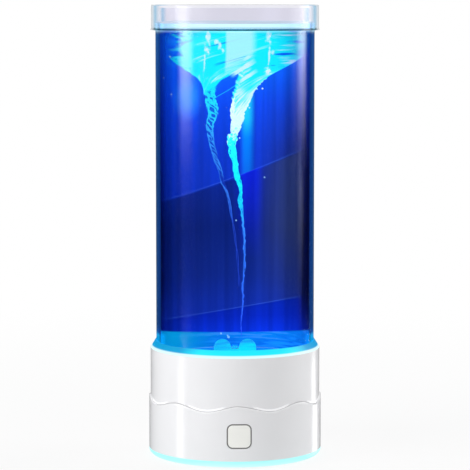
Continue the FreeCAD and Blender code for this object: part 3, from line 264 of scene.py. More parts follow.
def soft_lamp(name, turn, rise, distance, size, power):
    """A square soft lamp that looks at the middle of the object from two angles in degrees."""
    turn, rise = math.radians(turn), math.radians(rise)
    data = bpy.data.lights.new(name, "AREA")
    data.size = size
    data.energy = power
    lamp = bpy.data.objects.new(name, data)
    across = distance * math.cos(rise)
    height = distance * math.sin(rise) + LAMP_AIM
    lamp.location = (across * math.sin(turn), -across * math.cos(turn), height)
    lamp.rotation_euler = (math.pi / 2 - rise, 0, turn)
    hide_from(lamp, "camera", "transmission")
    scene.collection.objects.link(lamp)


soft_lamp("key_lamp", -58, 22, 1.5, 0.9, 11.5)
soft_lamp("fill_lamp", 104, 16, 1.8, 1.0, 15.0)
soft_lamp("back_lamp", 175, 40, 1.8, 1.0, 4.0)

# %% [markdown]
# The tall white stripes on glossy plastic are mirror images of bright cards at the
# sides. The cards are only there for reflections, so they shine on nothing. The camera
# looks down, so each height on the lamp mirrors its own height of a card, and heights
# below the floor too. The tank's stripes are soft and fade downwards, so its two cards
# do. The base has two narrow cards of its own, low down.

# %% The reflection cards
CARD_DISTANCE = 1.2
CARD_FADE = 2.6
CARD_CORE = 0.08
TANK_HEIGHTS = (0.07, 0.215, 0.7)
BASE_HEIGHTS = (-0.6, -0.595, -0.13)


def card(name, turn, wide, heights, strength):
    """A bright upright card for reflections alone, with its foot, full light and top as heights."""
    turn = math.radians(turn)
    foot, full, top = heights
    side = (math.cos(turn), math.sin(turn), 0)
    middle = (CARD_DISTANCE * math.sin(turn), -CARD_DISTANCE * math.cos(turn))
    corners = []
    for left, up in ((-1, foot), (1, foot), (1, top), (-1, top)):
        x = middle[0] + side[0] * left * wide / 2
        y = middle[1] + side[1] * left * wide / 2
        corners.append((x, y, up))
    sheet = sheet_mesh(name, corners)
    hide_from(sheet, "camera", "diffuse", "shadow", "transmission")
    material, tree, place = begin(name)
    height = add(tree, "SeparateXYZ", [place]).outputs["Z"]
    rise = add(tree, "MapRange", [height, foot, full, 0.0, 1.0])
    rise = add(tree, "Math", {"operation": "POWER"}, [rise, CARD_FADE])
    off = add(tree, "VectorMath", {"operation": "DOT_PRODUCT"}, [place, side]).outputs["Value"]
    off = add(tree, "Math", UNSIGNED, [off])
    soft = add(tree, "MapRange", SMOOTH, [off, wide * CARD_CORE, wide / 2, strength, 0.0])
    power = add(tree, "Math", TIMES, [rise, soft])
    glow = add(tree, "Emission", ["#FFFFFF", power])
    add(tree, "OutputMaterial", [glow])
    material.cycles.emission_sampling = "NONE"
    sheet.data.materials.append(material)


card("left_tank_card", -77.5, 0.7, TANK_HEIGHTS, 11.5)
card("right_tank_card", 108.5, 0.68, TANK_HEIGHTS, 6.0)
card("left_base_card", -79.5, 0.29, BASE_HEIGHTS, 6.5)
card("right_base_card", 131, 0.42, BASE_HEIGHTS, 5.0)
card("low_right_card", 106, 0.45, (-0.12, 0.06, 0.085), 0.8)

# %% [markdown]
# Plastics come first. The white shells are injection-moulded ABS from a polished
# mould: nearly white, glossy, with the faint long ripple that thick plastic gets as
# it cools. The satin and black parts differ in colour and in how fine the mould's
# grain is. One function makes them all: a slow noise for colour, a fine one for
# roughness and relief.

# %% Moulded plastics
RIPPLE = 16


def moulded(name, code, roughness, grain, relief, ior=1.5, drift=0.04, glow=0.0):
    """Moulded plastic with grain in mm, relief in mm and a slight drift of colour."""
    material, tree, place = begin(name)
    shade = mottled(tree, place, RIPPLE, 1.0, (1 - drift, 1.0))
    tone = add(tree, "Mix", TINT, [1.0, code, shade])
    fine = add(tree, "TexNoise", Vector=place, Scale=1 / (grain * MM), Detail=3.0)
    rough = add(tree, "MapRange", [fine, 0.3, 0.7, roughness - 0.03, roughness + 0.04])
    bump = add(tree, "Bump", Height=fine, Strength=1.0, Distance=relief * MM)
    skin = add(tree, "BsdfPrincipled", Base_Color=tone, Roughness=rough, Normal=bump, IOR=ior,
               Emission_Color=code, Emission_Strength=glow)
    add(tree, "OutputMaterial", [skin])
    return material


FINISH = {}
FINISH["glossy_white_abs"] = moulded("glossy white ABS", "#F6F6F8", 0.2, 9.0, 0.004, 1.53, 0.015)
# The button's faint glow is painted light that brightens its face.
FINISH["satin_button_abs"] = moulded("satin button ABS", "#F6F6F1", 0.34, 0.5, 0.004, glow=0.08)
FINISH["grey_nylon"] = moulded("moulded grey nylon", "#C9CCD0", 0.45, 0.6, 0.01)
FINISH["black_abs"] = moulded("black moulded ABS", "#16171A", 0.38, 0.5, 0.008)
FINISH["ivory_nylon"] = moulded("ivory connector nylon", "#E9E2CC", 0.4, 0.4, 0.006)
FINISH["foot_rubber"] = moulded("soft foot rubber", "#3A3C40", 0.75, 0.35, 0.02)
FINISH["ferrite"] = moulded("pressed ferrite", "#3B3B3F", 0.55, 0.3, 0.012)
print("plastics:", len(FINISH))

# %% [markdown]
# Two fine lines make the base read as two shells and a button. A painted highlight
# runs along the upper shell's edge just above the seam, most where the wave dips. The
# gap round the button is a third of a millimetre, too fine to show, so its shade is
# painted as a dark line on the button's own edge.

# %% The painted highlight over the seam
SEAM_HEIGHT = 33.52
SEAM_RISE = 1.7
SEAM_WAVES = 8


def reopen(finish):
    """A finish's tree, its skin and the piece's own coordinates, to add to it."""
    tree = FINISH[finish].node_tree
    skin = next(node for node in tree.nodes if node.type == "BSDF_PRINCIPLED")
    place = next(node for node in tree.nodes if node.type == "TEX_COORD").outputs["Object"]
    return tree, skin, place


tree, skin, place = reopen("glossy_white_abs")
east, north, height = add(tree, "SeparateXYZ", [place]).outputs
angle = add(tree, "Math", {"operation": "ARCTAN2"}, [east, north])
angle = add(tree, "Math", TIMES, [angle, SEAM_WAVES])
wave = add(tree, "Math", {"operation": "COSINE"}, [angle])
line = add(tree, "Math", TIMES_PLUS, [wave, SEAM_RISE * MM, SEAM_HEIGHT * MM])
over = add(tree, "Math", MINUS, [height, line])
# Painted highlight: the shell glows a little just above the seam, most where the wave dips.
shine = add(tree, "MapRange", [over, 0.15 * MM, 0.4 * MM, 0.0, 0.3])
ends = add(tree, "MapRange", [over, 1.0 * MM, 1.5 * MM, 1.0, 0.0])
dips = add(tree, "MapRange", SMOOTH, [wave, 0.5, -0.2, 0.0, 1.0])
for more in (ends, dips):
    shine = add(tree, "Math", TIMES, [shine, more])
tree.links.new(shine.outputs[0], skin.inputs["Emission Strength"])
print("seam at", SEAM_HEIGHT, "mm with", SEAM_WAVES, "waves")

# %% The painted shade line round the button
BUTTON_HEIGHT = 18.7
BUTTON_CORNER = 3.0
BUTTON_FLAT = 3.6
GAP_SHADE_WIDTH = 0.45
GAP_SHADE_EDGE = 0.2
flat = (BUTTON_FLAT * MM, 1.0, BUTTON_FLAT * MM)

tree, skin, place = reopen("satin_button_abs")
off = add(tree, "VectorMath", MINUS, [place, (0, 0, BUTTON_HEIGHT * MM)])
off = add(tree, "VectorMath", UNSIGNED, [off])
off = add(tree, "VectorMath", MINUS, [off, flat])
off = add(tree, "VectorMath", LARGER, [off, (0, 0, 0)])
off = add(tree, "VectorMath", LENGTH, [off]).outputs["Value"]
# Painted shade of the gap round the button, drawn as a dark line on the button's edge.
ends = [(BUTTON_CORNER - GAP_SHADE_WIDTH) * MM, (BUTTON_CORNER - GAP_SHADE_EDGE) * MM]
line = add(tree, "MapRange", [off, *ends, 0.0, 1.0])
tone = skin.inputs["Base Color"].links[0].from_socket
tone = add(tree, "Mix", COLOURS, [line, tone, "#3E3A3C"])
tree.links.new(tone.outputs["Result"], skin.inputs["Base Color"])
print("button at", BUTTON_HEIGHT, "mm")

# %% [markdown]
# Metal parts are drawn or turned, so their fine lines run round the part or along it.
# The lines come from a noise that is squeezed in height. Plated magnets, zinc-plated
# screws, the steel motor can and sintered brass differ in tint and gloss.

# %% Metals
METAL_CLOUD = 4


def metal(name, code, roughness, line, relief):
    """Turned or drawn metal with fine lines of a width in mm."""
    material, tree, place = begin(name)
    squeezed = add(tree, "Mapping", [place], Scale=(0.12, 0.12, 1.0))
    lines = add(tree, "TexNoise", Vector=squeezed, Scale=1 / (line * MM), Detail=2.0)
    shade = mottled(tree, place, METAL_CLOUD, 2.0, (0.88, 1.0))
    tone = add(tree, "Mix", TINT, [1.0, code, shade])
    rough = add(tree, "MapRange", [lines, 0.3, 0.7, roughness - 0.06, roughness + 0.1])
    bump = add(tree, "Bump", Height=lines, Strength=1.0, Distance=relief * MM)
    skin = add(tree, "BsdfPrincipled", Base_Color=tone, Roughness=rough, Normal=bump, Metallic=1.0)
    add(tree, "OutputMaterial", [skin])
    return material


FINISH["zinc_steel"] = metal("zinc-plated steel", "#C9CDD2", 0.3, 0.25, 0.003)
FINISH["motor_steel"] = metal("drawn motor steel", "#B4B7BB", 0.36, 0.3, 0.004)
FINISH["nickel"] = metal("nickel-plated magnet", "#D3CFC6", 0.18, 0.4, 0.001)
FINISH["brass"] = metal("sintered brass", "#C9A45A", 0.42, 0.3, 0.006)
print("finishes so far:", len(FINISH))

# %% [markdown]
# The boards are green glass-epoxy with a lacquer. Copper tracks under the lacquer
# show as paler straight lines, which a brick pattern gives well enough. The wires
# have thin PVC sleeves in the usual colours, told apart by where they lie. The seals
# are silicone rubber, milky and soft.

# %% Circuit boards
TRACK_LENGTH = 9
BOARD_WEAVE = 0.5

material, tree, place = begin("green circuit board")
bricks = {"offset": 0.37, "squash": 1.4, "squash_frequency": 3}
greens = ["#0F5A3A", "#0C4F33", "#2E8A5E"]
tracks = add(tree, "TexBrick", bricks, [place, *greens], Scale=1 / (TRACK_LENGTH * MM),
             Mortar_Size=0.035)
bump = add(tree, "Bump", Height=tracks.outputs["Fac"], Strength=0.6, Distance=0.03 * MM)
rough = mottled(tree, place, BOARD_WEAVE, 2.0, (0.28, 0.4))
skin = add(tree, "BsdfPrincipled", Base_Color=tracks.outputs["Color"], Roughness=rough,
           Normal=bump, IOR=1.55)
add(tree, "OutputMaterial", [skin])
FINISH["circuit_board"] = material
print("track pattern in mm:", TRACK_LENGTH)

# %% Wire sleeves
SLEEVE_PATCH = 5
SLEEVE_GRAIN = 0.4
SLEEVE_STOPS = [(0.42, "#16161A"), (0.44, "#C2202A"), (0.56, "#C2202A"), (0.58, "#E8E6DE")]

material, tree, place = begin("PVC wire sleeve")
patch = add(tree, "TexNoise", Vector=place, Scale=1 / (SLEEVE_PATCH * MM), Detail=0.0)
sleeve = add(tree, "ValToRGB", [patch], stops=SLEEVE_STOPS)
sleeve.color_ramp.interpolation = "CONSTANT"
fine = add(tree, "TexNoise", Vector=place, Scale=1 / (SLEEVE_GRAIN * MM), Detail=2.0)
bump = add(tree, "Bump", Height=fine, Strength=1.0, Distance=0.01 * MM)
skin = add(tree, "BsdfPrincipled", Base_Color=sleeve, Roughness=0.42, Normal=bump)
add(tree, "OutputMaterial", [skin])
FINISH["wire_sleeve"] = material
print("sleeve colours:", len(SLEEVE_STOPS) - 1)

# %% The tank's seal
SEAL_GRAIN = 0.5

material, tree, place = begin("milky silicone seal")
fine = add(tree, "TexNoise", Vector=place, Scale=1 / (SEAL_GRAIN * MM), Detail=2.0)
rough = add(tree, "MapRange", [fine, 0.3, 0.7, 0.4, 0.55])
milk = add(tree, "MapRange", [fine, 0.3, 0.7, 0.45, 0.6])
skin = add(tree, "BsdfPrincipled", Base_Color="#E6F2F6", Roughness=rough, IOR=1.41,
           Transmission_Weight=milk)
add(tree, "OutputMaterial", [skin])
FINISH["silicone"] = material
print("finishes so far:", len(FINISH))

# %% [markdown]
# The lamp is switched on, so its frosted parts glow. Light that has been scattered in
# frosted plastic leaves it evenly with slightly brighter places over each light. The
# glow is written as emission with a strength near one, so that it looks as pale or as
# blue as its hex code says, and a little base colour is left for the studio's light.

# %% Glowing plastics
GLOW_BAND = 6
FROST_GRAIN = 0.5


def glowing(name, low, high, bottom, top, streak, strength, roughness=0.4):
    """Lit plastic whose colour runs from low to high between two heights in mm."""
    material, tree, place = begin(name)
    height = add(tree, "SeparateXYZ", [place]).outputs["Z"]
    rise = add(tree, "MapRange", [height, bottom * MM, top * MM, 0.0, 1.0])
    flat = add(tree, "Mapping", [place], Scale=(0.25, 0.25, 2.2))
    drift = mottled(tree, flat, GLOW_BAND, 3.0, (-streak, streak))
    mixed = add(tree, "Math", {"operation": "ADD", "use_clamp": True}, [rise, drift])
    tone = add(tree, "Mix", COLOURS, [mixed, low, high])
    rough = mottled(tree, place, FROST_GRAIN, 2.0, (roughness - 0.05, roughness + 0.05))
    base = add(tree, "Mix", TINT, [1.0, tone, "#707070"])
    skin = add(tree, "BsdfPrincipled", Base_Color=base, Roughness=rough,
               Emission_Color=tone, Emission_Strength=strength)
    add(tree, "OutputMaterial", [skin])
    return material


FINISH["glow_ring"] = glowing("frosted glow ring", "#CCFFFF", "#B0FFFF", 0, 4.6, 0.25, 0.88)
FINISH["lit_collar"] = glowing("frosted lit collar", "#14F0FF", "#1EE6FF", 61.5, 66.0, 0.3, 0.9)
FINISH["lit_floor"] = glowing("edge-lit acrylic floor", "#14F0FF", "#1EC8FF", 50.0, 58.0, 0.6, 0.85, 0.2)
FINISH["lit_impeller"] = glowing("translucent cyan impeller", "#14F0FF", "#1EB4FA", 60.0, 68.0, 0.7, 1.0, 0.3)
# The lid's seal glows with painted light from the lit water below it.
FINISH["lit_seal"] = glowing("clear silicone seal over the lit water", "#D2F0F8", "#DCE4F0",
                            246, 247.3, 0.2, 0.8)
FINISH["light_lens"] = glowing("LED lens", "#9FF6FF", "#E8FFFF", 9.0, 49.0, 0.1, 1.0, 0.15)
print("finishes so far:", len(FINISH))

# %% [markdown]
# The collar and the tank's floor carry painted light: they are brightest at the front,
# a little to the left, and turn a deeper blue towards the sides. The collar's foot,
# where it flares out over the white shell, has a painted highlight that makes it nearly white.

# %% Painted light: where the collar and the floor are brightest
BRIGHT_TURN = -0.12
SHADED_SIDES = {"lit_collar": ("#088ED2", -30, -39), "lit_floor": ("#1488F4", -18, -34)}
COLLAR_FOOT_HIGHLIGHT = (63.0, 63.7)

for finish, (side, first, last) in SHADED_SIDES.items():
    tree, skin, place = reopen(finish)
    skin.inputs["Specular IOR Level"].default_value = 0.15
    east, north, height = add(tree, "SeparateXYZ", [place]).outputs
    # Painted light: brighter at the front, a deeper blue towards the shaded sides.
    front = add(tree, "Math", TIMES_PLUS, [east, BRIGHT_TURN, north])
    front = add(tree, "MapRange", [front, first * MM, last * MM, 0.0, 1.0])
    tone = skin.inputs["Emission Color"].links[0].from_socket
    tone = add(tree, "Mix", COLOURS, [front, side, tone])
    # Painted highlight: the collar's foot is made nearly white.
    if finish == "lit_collar":
        low, high = COLLAR_FOOT_HIGHLIGHT
        foot = add(tree, "MapRange", [height, low * MM, high * MM, 1.0, 0.0])
        tone = add(tree, "Mix", COLOURS, [foot, tone, "#EEFFFF"])
    tree.links.new(tone.outputs["Result"], skin.inputs["Emission Color"])
print("finishes that turn bluer at the sides:", list(SHADED_SIDES))

# %% [markdown]
# What makes clear plastic read as plastic is its gloss and the darker line at each
# side, where the eye looks along the wall through many millimetres of it. So a clear
# finish lets light straight through, changes colour where one looks along the wall,
# and carries a clear gloss on top. The real tube is full of water, which hides its
# bending of light, so it bends none here. Lamps shine in through it, which the mix
# with a transparent shader allows.

# %% Clear plastics
CLEAR_RIPPLE = 30


def clear_plastic(name, face, rim, along_wall, gloss, gloss_roughness, pass_tint):
    """Clear plastic with its colour straight on and along the wall, and its gloss."""
    material, tree, place = begin(name)
    facing = add(tree, "LayerWeight", Blend=0.5).outputs["Facing"]
    along = add(tree, "MapRange", [facing, *along_wall, 0.0, 1.0])
    tone = add(tree, "Mix", COLOURS, [along, face, rim])
    fine = add(tree, "TexNoise", Vector=place, Scale=1 / (CLEAR_RIPPLE * MM), Detail=1.0)
    bump = add(tree, "Bump", Height=fine, Strength=0.3, Distance=0.05 * MM)
    skin = add(tree, "BsdfPrincipled", Base_Color=tone, Roughness=0.0, IOR=1.0,
               Transmission_Weight=1.0, Coat_Weight=gloss, Coat_IOR=1.49,
               Coat_Roughness=gloss_roughness, Coat_Normal=bump)
    through = add(tree, "BsdfTransparent", Color=pass_tint)
    soft = any_ray(tree, "Is Shadow Ray", "Is Diffuse Ray")
    surface = add(tree, "MixShader", [soft, skin, through])
    output = add(tree, "OutputMaterial", [surface])
    return material, tree, place, facing, skin, output


print("long ripple of clear plastic in mm:", CLEAR_RIPPLE)

# %% [markdown]
# The tank is an extruded acrylic tube. It takes a lot of red out of the light for each
# millimetre of wall, which makes the dark teal line at each side. Only its outer face
# is glossy, since the inner one is wet.

# %% The tube's body and gloss
WET_RADIUS = 43.5 * MM
TUBE_DEPTH = 185.0

along_wall = (0.62, 0.88)
made = clear_plastic("extruded acrylic tube", "#FFFFFF", "#C6E0F2", along_wall, 1.0, 0.12, "#F4FCFF")
material, tree, place, facing, skin, output = made
flat = add(tree, "VectorMath", TIMES, [place, (1, 1, 0)])
out = add(tree, "VectorMath", LENGTH, [flat]).outputs["Value"]
dry = add(tree, "Math", {"operation": "GREATER_THAN"}, [out, WET_RADIUS])
tree.links.new(dry.outputs[0], skin.inputs["Coat Weight"])
body = add(tree, "VolumeAbsorption", Color="#2DB0E0", Density=TUBE_DEPTH)
tree.links.new(body.outputs[0], output.inputs["Volume"])
FINISH["tube_acrylic"] = material
print("gloss outside a radius of", WET_RADIUS / MM, "mm")

# %% [markdown]
# Acrylic carries light along its wall, so the tube's cut top edge shines and its foot
# glows over the lights. This light is painted on as emission; along the wall it is
# stronger where one looks along it, and it turns from teal to blue upwards.

# %% The light that the tube carries
height = add(tree, "SeparateXYZ", [place]).outputs["Z"]
lit_top = add(tree, "MapRange", [height, 241 * MM, 243 * MM, 0.0, 0.28])
wall_foot = add(tree, "MapRange", [height, 70 * MM, 72 * MM, 1.0, 0.0])
wall_top = add(tree, "MapRange", [height, 190 * MM, 235 * MM, 0.0, 0.2])
wall_end = add(tree, "MapRange", [height, 241 * MM, 243 * MM, 0.0, 0.5])
wall_top = add(tree, "Math", PLUS, [wall_top, wall_end])
along = add(tree, "MapRange", [facing, 0.62, 0.78, 0.0, 1.0])
wall_foot = add(tree, "Math", TIMES, [wall_foot, along])
along = add(tree, "MapRange", [facing, 0.62, 0.8, 0.0, 1.0])
wall_top = add(tree, "Math", TIMES, [wall_top, along])
lit = lit_top
for more in (wall_foot, wall_top):
    lit = add(tree, "Math", PLUS, [lit, more])
tone = add(tree, "MapRange", [height, 100 * MM, 180 * MM, 0.0, 1.0])
tone = add(tree, "Mix", COLOURS, [tone, "#0AB4DC", "#2C78C8"])
whiter = add(tree, "MapRange", [height, 240 * MM, 241.5 * MM, 0.0, 1.0])
tone = add(tree, "Mix", COLOURS, [whiter, tone, "#DCFFF4"])
tree.links.new(tone.outputs["Result"], skin.inputs["Emission Color"])
tree.links.new(lit.outputs[0], skin.inputs["Emission Strength"])
print("nodes in the tube's finish:", len(tree.nodes))

# %% [markdown]
# The lid is a moulded styrene cap with a faint lavender cast. It is bluer where one
# looks along its wall, clear again at its very edge, and has a thin dark line where
# its rim ends. The spindle's cap is a small clear moulding in the lit water.

# %% The lid and the spindle's cap
along_wall = (0.56, 0.68)
made = clear_plastic("clear moulded lid", "#ECEBF3", "#AED4EE", along_wall, 0.6, 0.18, "#F4F6FF")
material, tree, place, facing, skin, output = made
height = add(tree, "SeparateXYZ", [place]).outputs["Z"]
rim = add(tree, "MapRange", [height, 243.2 * MM, 243.9 * MM, 1.0, 0.0])
tone = skin.inputs["Base Color"].links[0].from_socket
tone = add(tree, "Mix", COLOURS, [rim, tone, "#3A6274"])
edge = add(tree, "MapRange", [facing, 0.7, 0.82, 0.0, 0.8])
tone = add(tree, "Mix", COLOURS, [edge, tone, "#FFFFFF"])
tree.links.new(tone.outputs["Result"], skin.inputs["Base Color"])
FINISH["lid_styrene"] = material

along_wall = (0.6, 0.85)
made = clear_plastic("clear spindle cap", "#C8F4FF", "#8FE0FF", along_wall, 0.3, 0.05, "#E0FAFF")
material, tree, place, facing, skin, output = made
# The cap's faint blue glow is painted light from the lit water round it.
skin.inputs["Emission Color"].default_value = colour("#1496F5")
skin.inputs["Emission Strength"].default_value = 0.35
FINISH["cap_acrylic"] = material
print("finishes so far:", len(FINISH))

# %% [markdown]
# Each carried-over piece now gets the finish of the real one.

# %% Hand out the finishes
PIECES = {
    "glossy_white_abs": ["base_plate", "lower_shell", "upper_shell"],
    "satin_button_abs": ["power_button"],
    "grey_nylon": ["motor_deck", "motor_end_cap", "switch_bracket", "impeller_bush", "magnet_carrier"],
    "black_abs": ["controller_chip", "capacitor", "power_inlet", "switch_body", "switch_plunger"],
    "ivory_nylon": ["wire_headers"],
    "foot_rubber": ["foot_pads"],
    "ferrite": ["motor_magnets"],
    "nickel": ["impeller_magnets", "drive_magnets"],
    "brass": ["motor_bearing", "motor_terminals"],
    "motor_steel": ["motor_can", "motor_armature"],
    "circuit_board": ["light_board", "main_board", "switch_board"],
    "wire_sleeve": ["motor_wires", "light_wires", "switch_wires"],
    "silicone": ["tank_seal"],
    "lit_seal": ["lid_seal"],
    "glow_ring": ["glow_ring"],
    "lit_collar": ["light_collar"],
    "lit_floor": ["tank_floor"],
    "lit_impeller": ["impeller"],
    "light_lens": ["light_emitters", "glow_lights"],
    "tube_acrylic": ["tank_tube"],
    "lid_styrene": ["lid"],
    "cap_acrylic": ["spindle_cap"],
    "zinc_steel": ["base_screws", "deck_screws", "light_board_screws", "motor_screws", "main_board_screws",
                   "switch_screws", "spindle", "inlet_pin", "motor_shaft"],
}
for finish, names in PIECES.items():
    for name in names:
        nodes[name].data.materials.clear()
        nodes[name].data.materials.append(FINISH[finish])
dressed = {name for names in PIECES.values() for name in names}
print("pieces without a finish:", sorted(set(nodes) - dressed))

# %% [markdown]
# The water is a deep blue body, and what the eye sees of it is the far side of the
# tank. That far side carries the water's light and shade, painted on and made to glow:
# royal blue at the top, navy below a slanting line, royal again below a second line,
# and bright just over the lights. So the water is a thin sleeve inside the tube. Its
# inner face shows from inside alone: the near side is clear, and the far side is blue,
# from whichever side one looks.

# %% Shape of the water
WATER_RADIUS = 42.35
WATER_SKIN = 42.2
WATER_BOTTOM = 55.6
WATER_RIM = 242.45
WATER_ROWS = 24
WATER_STEPS = 128


def lathe(name, profile, steps):
    """A closed ring body turned round the axis from a closed profile of radius and height in mm."""
    points = []
    for step in range(steps):
        angle = 2 * math.pi * step / steps
        points += [(r * math.cos(angle) * MM, r * math.sin(angle) * MM, z * MM) for r, z in profile]
    count = len(profile)
    faces = []
    for step in range(steps):
        here, after = step * count, (step + 1) % steps * count
        for place in range(count):
            beyond = (place + 1) % count
            faces.append((here + place, after + place, after + beyond, here + beyond))
    mesh = bpy.data.meshes.new(name)
    mesh.from_pydata(points, [], faces)
    mesh.shade_smooth()
    body = bpy.data.objects.new(name, mesh)
    scene.collection.objects.link(body)
    return body


tall = WATER_RIM - WATER_BOTTOM
heights = [WATER_BOTTOM + tall * row / WATER_ROWS for row in range(WATER_ROWS + 1)]
profile = [(WATER_RADIUS, height) for height in heights]
profile += [(WATER_SKIN, height) for height in reversed(heights)]
water = lathe("water_body", profile, WATER_STEPS)
for face in water.data.polygons:
    face.material_index = 1 if face.index % len(profile) > WATER_ROWS else 0
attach(water, "base")
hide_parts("water")
print("water faces:", len(water.data.polygons))

# %% [markdown]
# The layers of the water meet on slanting lines. A height that leans with a point's
# place east and north makes each line: where it passes the line's own height, one
# colour gives way to the next.

# %% Where the layers of the water meet
UPPER_LINE = 162.0
LOWER_LINE = 84.8
LIT_LINE = 71.7
UPPER_SLOPES = (-0.365, 0.157)
LOWER_SLOPES = (-0.165, 0.155)
LIT_SLOPE = 0.17

material, tree, place = begin("deep blue water")
east, north, height = add(tree, "SeparateXYZ", [place]).outputs
upper = add(tree, "Math", TIMES_PLUS, [east, UPPER_SLOPES[0], height])
upper = add(tree, "Math", TIMES_PLUS, [north, UPPER_SLOPES[1], upper])
lower = add(tree, "Math", TIMES_PLUS, [east, LOWER_SLOPES[0], height])
lower = add(tree, "Math", TIMES_PLUS, [north, LOWER_SLOPES[1], lower])
lit = add(tree, "Math", TIMES_PLUS, [north, LIT_SLOPE, height])
print("layers meet at heights", UPPER_LINE, LOWER_LINE, LIT_LINE)

# %% Colours of the layers
TOP_STOPS = [(0.0, "#1A3CC0"), (0.3, "#1840C8"), (0.6, "#1A4EE0"), (1.0, "#1C72F6")]
NAVY_STOPS = [(0.0, "#1A34A0"), (0.25, "#182E86"), (0.6, "#142878"), (1.0, "#162E92")]
LOW_STOPS = [(0.0, "#1038CC"), (0.5, "#0E2CB0"), (1.0, "#0E2AA0")]

rise = add(tree, "MapRange", [height, 145 * MM, 235 * MM, 0.0, 1.0])
top = add(tree, "ValToRGB", [rise], stops=TOP_STOPS)
rise = add(tree, "MapRange", [height, 78 * MM, 160 * MM, 0.0, 1.0])
navy = add(tree, "ValToRGB", [rise], stops=NAVY_STOPS)
rise = add(tree, "MapRange", [lit, LIT_LINE * MM, 90 * MM, 0.0, 1.0])
low = add(tree, "ValToRGB", [rise], stops=LOW_STOPS)
print("layers: top, navy and low")

# %% Colour over the lights
LIT_STOPS = [(0.0, "#1AA8EE"), (0.35, "#1E98E8"), (0.55, "#0C7AD6"), (0.64, "#0C7CD4")]
LIT_STOPS += [(0.76, "#0E88D8"), (0.92, "#0E8ADA"), (1.0, "#3C96E6")]
WAVELET = 1.6
NARROW = (0.35, 0.65)

wavy = add(tree, "Mapping", [place], Scale=(0.08, 0.08, 1.0))
wavy = mottled(tree, wavy, WAVELET, 3.0, (-0.3, 0.3), NARROW)
rise = add(tree, "MapRange", [lit, 56 * MM, LIT_LINE * MM, 0.0, 1.0])
rise = add(tree, "Math", PLUS, [rise, wavy])
over_lights = add(tree, "ValToRGB", [rise], stops=LIT_STOPS)
greener = add(tree, "MapRange", [east, -6 * MM, -34 * MM, 0.0, 0.95])
over_lights = add(tree, "Mix", COLOURS, [greener, over_lights, "#06B2CC"])
print("stops over the lights:", len(LIT_STOPS))

# %% Painted dusk at the right and painted shade at the left
dusk_x = add(tree, "MapRange", SMOOTH, [east, 8 * MM, 38 * MM, 0.0, 1.0])
dusk = faded(tree, dusk_x, (height, 158, 226, 0.95, 0.0))
top = add(tree, "Mix", COLOURS, [dusk, top, "#2C305A"])
dusk = faded(tree, dusk_x, (height, 85, 130, 0.3, 1.0))
navy = add(tree, "Mix", COLOURS, [dusk, navy, "#3C4068"])
shade = add(tree, "MapRange", [east, -38 * MM, -18 * MM, 0.5, 0.0])
low = add(tree, "Mix", COLOURS, [shade, low, "#0E2470"])
print("nodes so far:", len(tree.nodes))


# %% Join the layers
def stripe(tree, along, middle, core, reach, strength, *settings):
    """A stripe round a middle that is full within its core and gone at its reach, all in mm."""
    off = add(tree, "Math", MINUS, [along, middle * MM])
    off = add(tree, "Math", UNSIGNED, [off])
    return add(tree, "MapRange", *settings, [off, core * MM, reach * MM, strength, 0.0])


below = add(tree, "MapRange", [upper, (UPPER_LINE - 1.5) * MM, UPPER_LINE * MM, 1.0, 0.0])
tone = add(tree, "Mix", COLOURS, [below, top, navy])
below = add(tree, "MapRange", [lower, (LOWER_LINE - 1.0) * MM, LOWER_LINE * MM, 1.0, 0.0])
tone = add(tree, "Mix", COLOURS, [below, tone, low])
for level, middle, strength in ((upper, UPPER_LINE, 0.4), (lower, LOWER_LINE, 0.35)):
    line = stripe(tree, level, middle, 0.05, 0.4, strength)
    tone = add(tree, "Mix", COLOURS, [line, tone, "#5078E6"])
print("nodes so far:", len(tree.nodes))

# %% [markdown]
# All of this is painted light. A shaft of light falls beside the foam, cyan next to its
# white part and blue further down. Under the upper line a broader and darker one goes
# on. Clouds of brighter water climb round the axis near the surface, and a soft glow
# hangs at the left.

# %% Shafts of light
SHAFT_EAST = 9.2
LOW_SHAFT_EAST = 10.5

above = add(tree, "Math", {"operation": "GREATER_THAN"}, [upper, UPPER_LINE * MM])
shaft = stripe(tree, east, SHAFT_EAST, 0.3, 5.0, 1.0, SMOOTH)
shaft = faded(tree, shaft, (height, 150, 196, 0.3, 1.0))
shaft = add(tree, "Math", TIMES, [shaft, above])
rise = add(tree, "MapRange", [height, 179 * MM, 190 * MM, 0.0, 1.0])
glint = add(tree, "Mix", COLOURS, [rise, "#0AA0FF", "#2CDCFF"])
tone = add(tree, "Mix", COLOURS, [shaft, tone, glint])
under = add(tree, "Math", MINUS, [1.0, above])
shaft = stripe(tree, east, LOW_SHAFT_EAST, 1, 10, 1.0, SMOOTH)
shaft = faded(tree, shaft, (height, 108, 164, 0.0, 0.8))
shaft = add(tree, "Math", TIMES, [shaft, under])
tone = add(tree, "Mix", COLOURS, [shaft, tone, "#1624E6"])
print("shafts at", SHAFT_EAST, "and", LOW_SHAFT_EAST, "mm east")


# %% Painted light: clouds, a glow at the left and upright streaks
def swirl(tree, place, around, climb, pitch=72.0):
    """Coordinates for streaks that climb round the axis: counts around, climb per mm, pitch in mm."""
    flat = add(tree, "VectorMath", TIMES, [place, (1, 1, 0)])
    outward = add(tree, "VectorMath", {"operation": "NORMALIZE"}, [flat])
    height = add(tree, "SeparateXYZ", [place]).outputs["Z"]
    angle = add(tree, "Math", TIMES, [height, -2 * math.pi / (pitch * MM)])
    turned = add(tree, "VectorRotate", {"rotation_type": "Z_AXIS"}, Vector=outward, Angle=angle)
    wide = add(tree, "VectorMath", {"operation": "SCALE"}, Vector=turned, Scale=around)
    tall = add(tree, "VectorMath", TIMES, [place, (0, 0, climb / MM)])
    return add(tree, "VectorMath", PLUS, [wide, tall])


EVERY_DEPTH = 1000.0
STREAK = 5


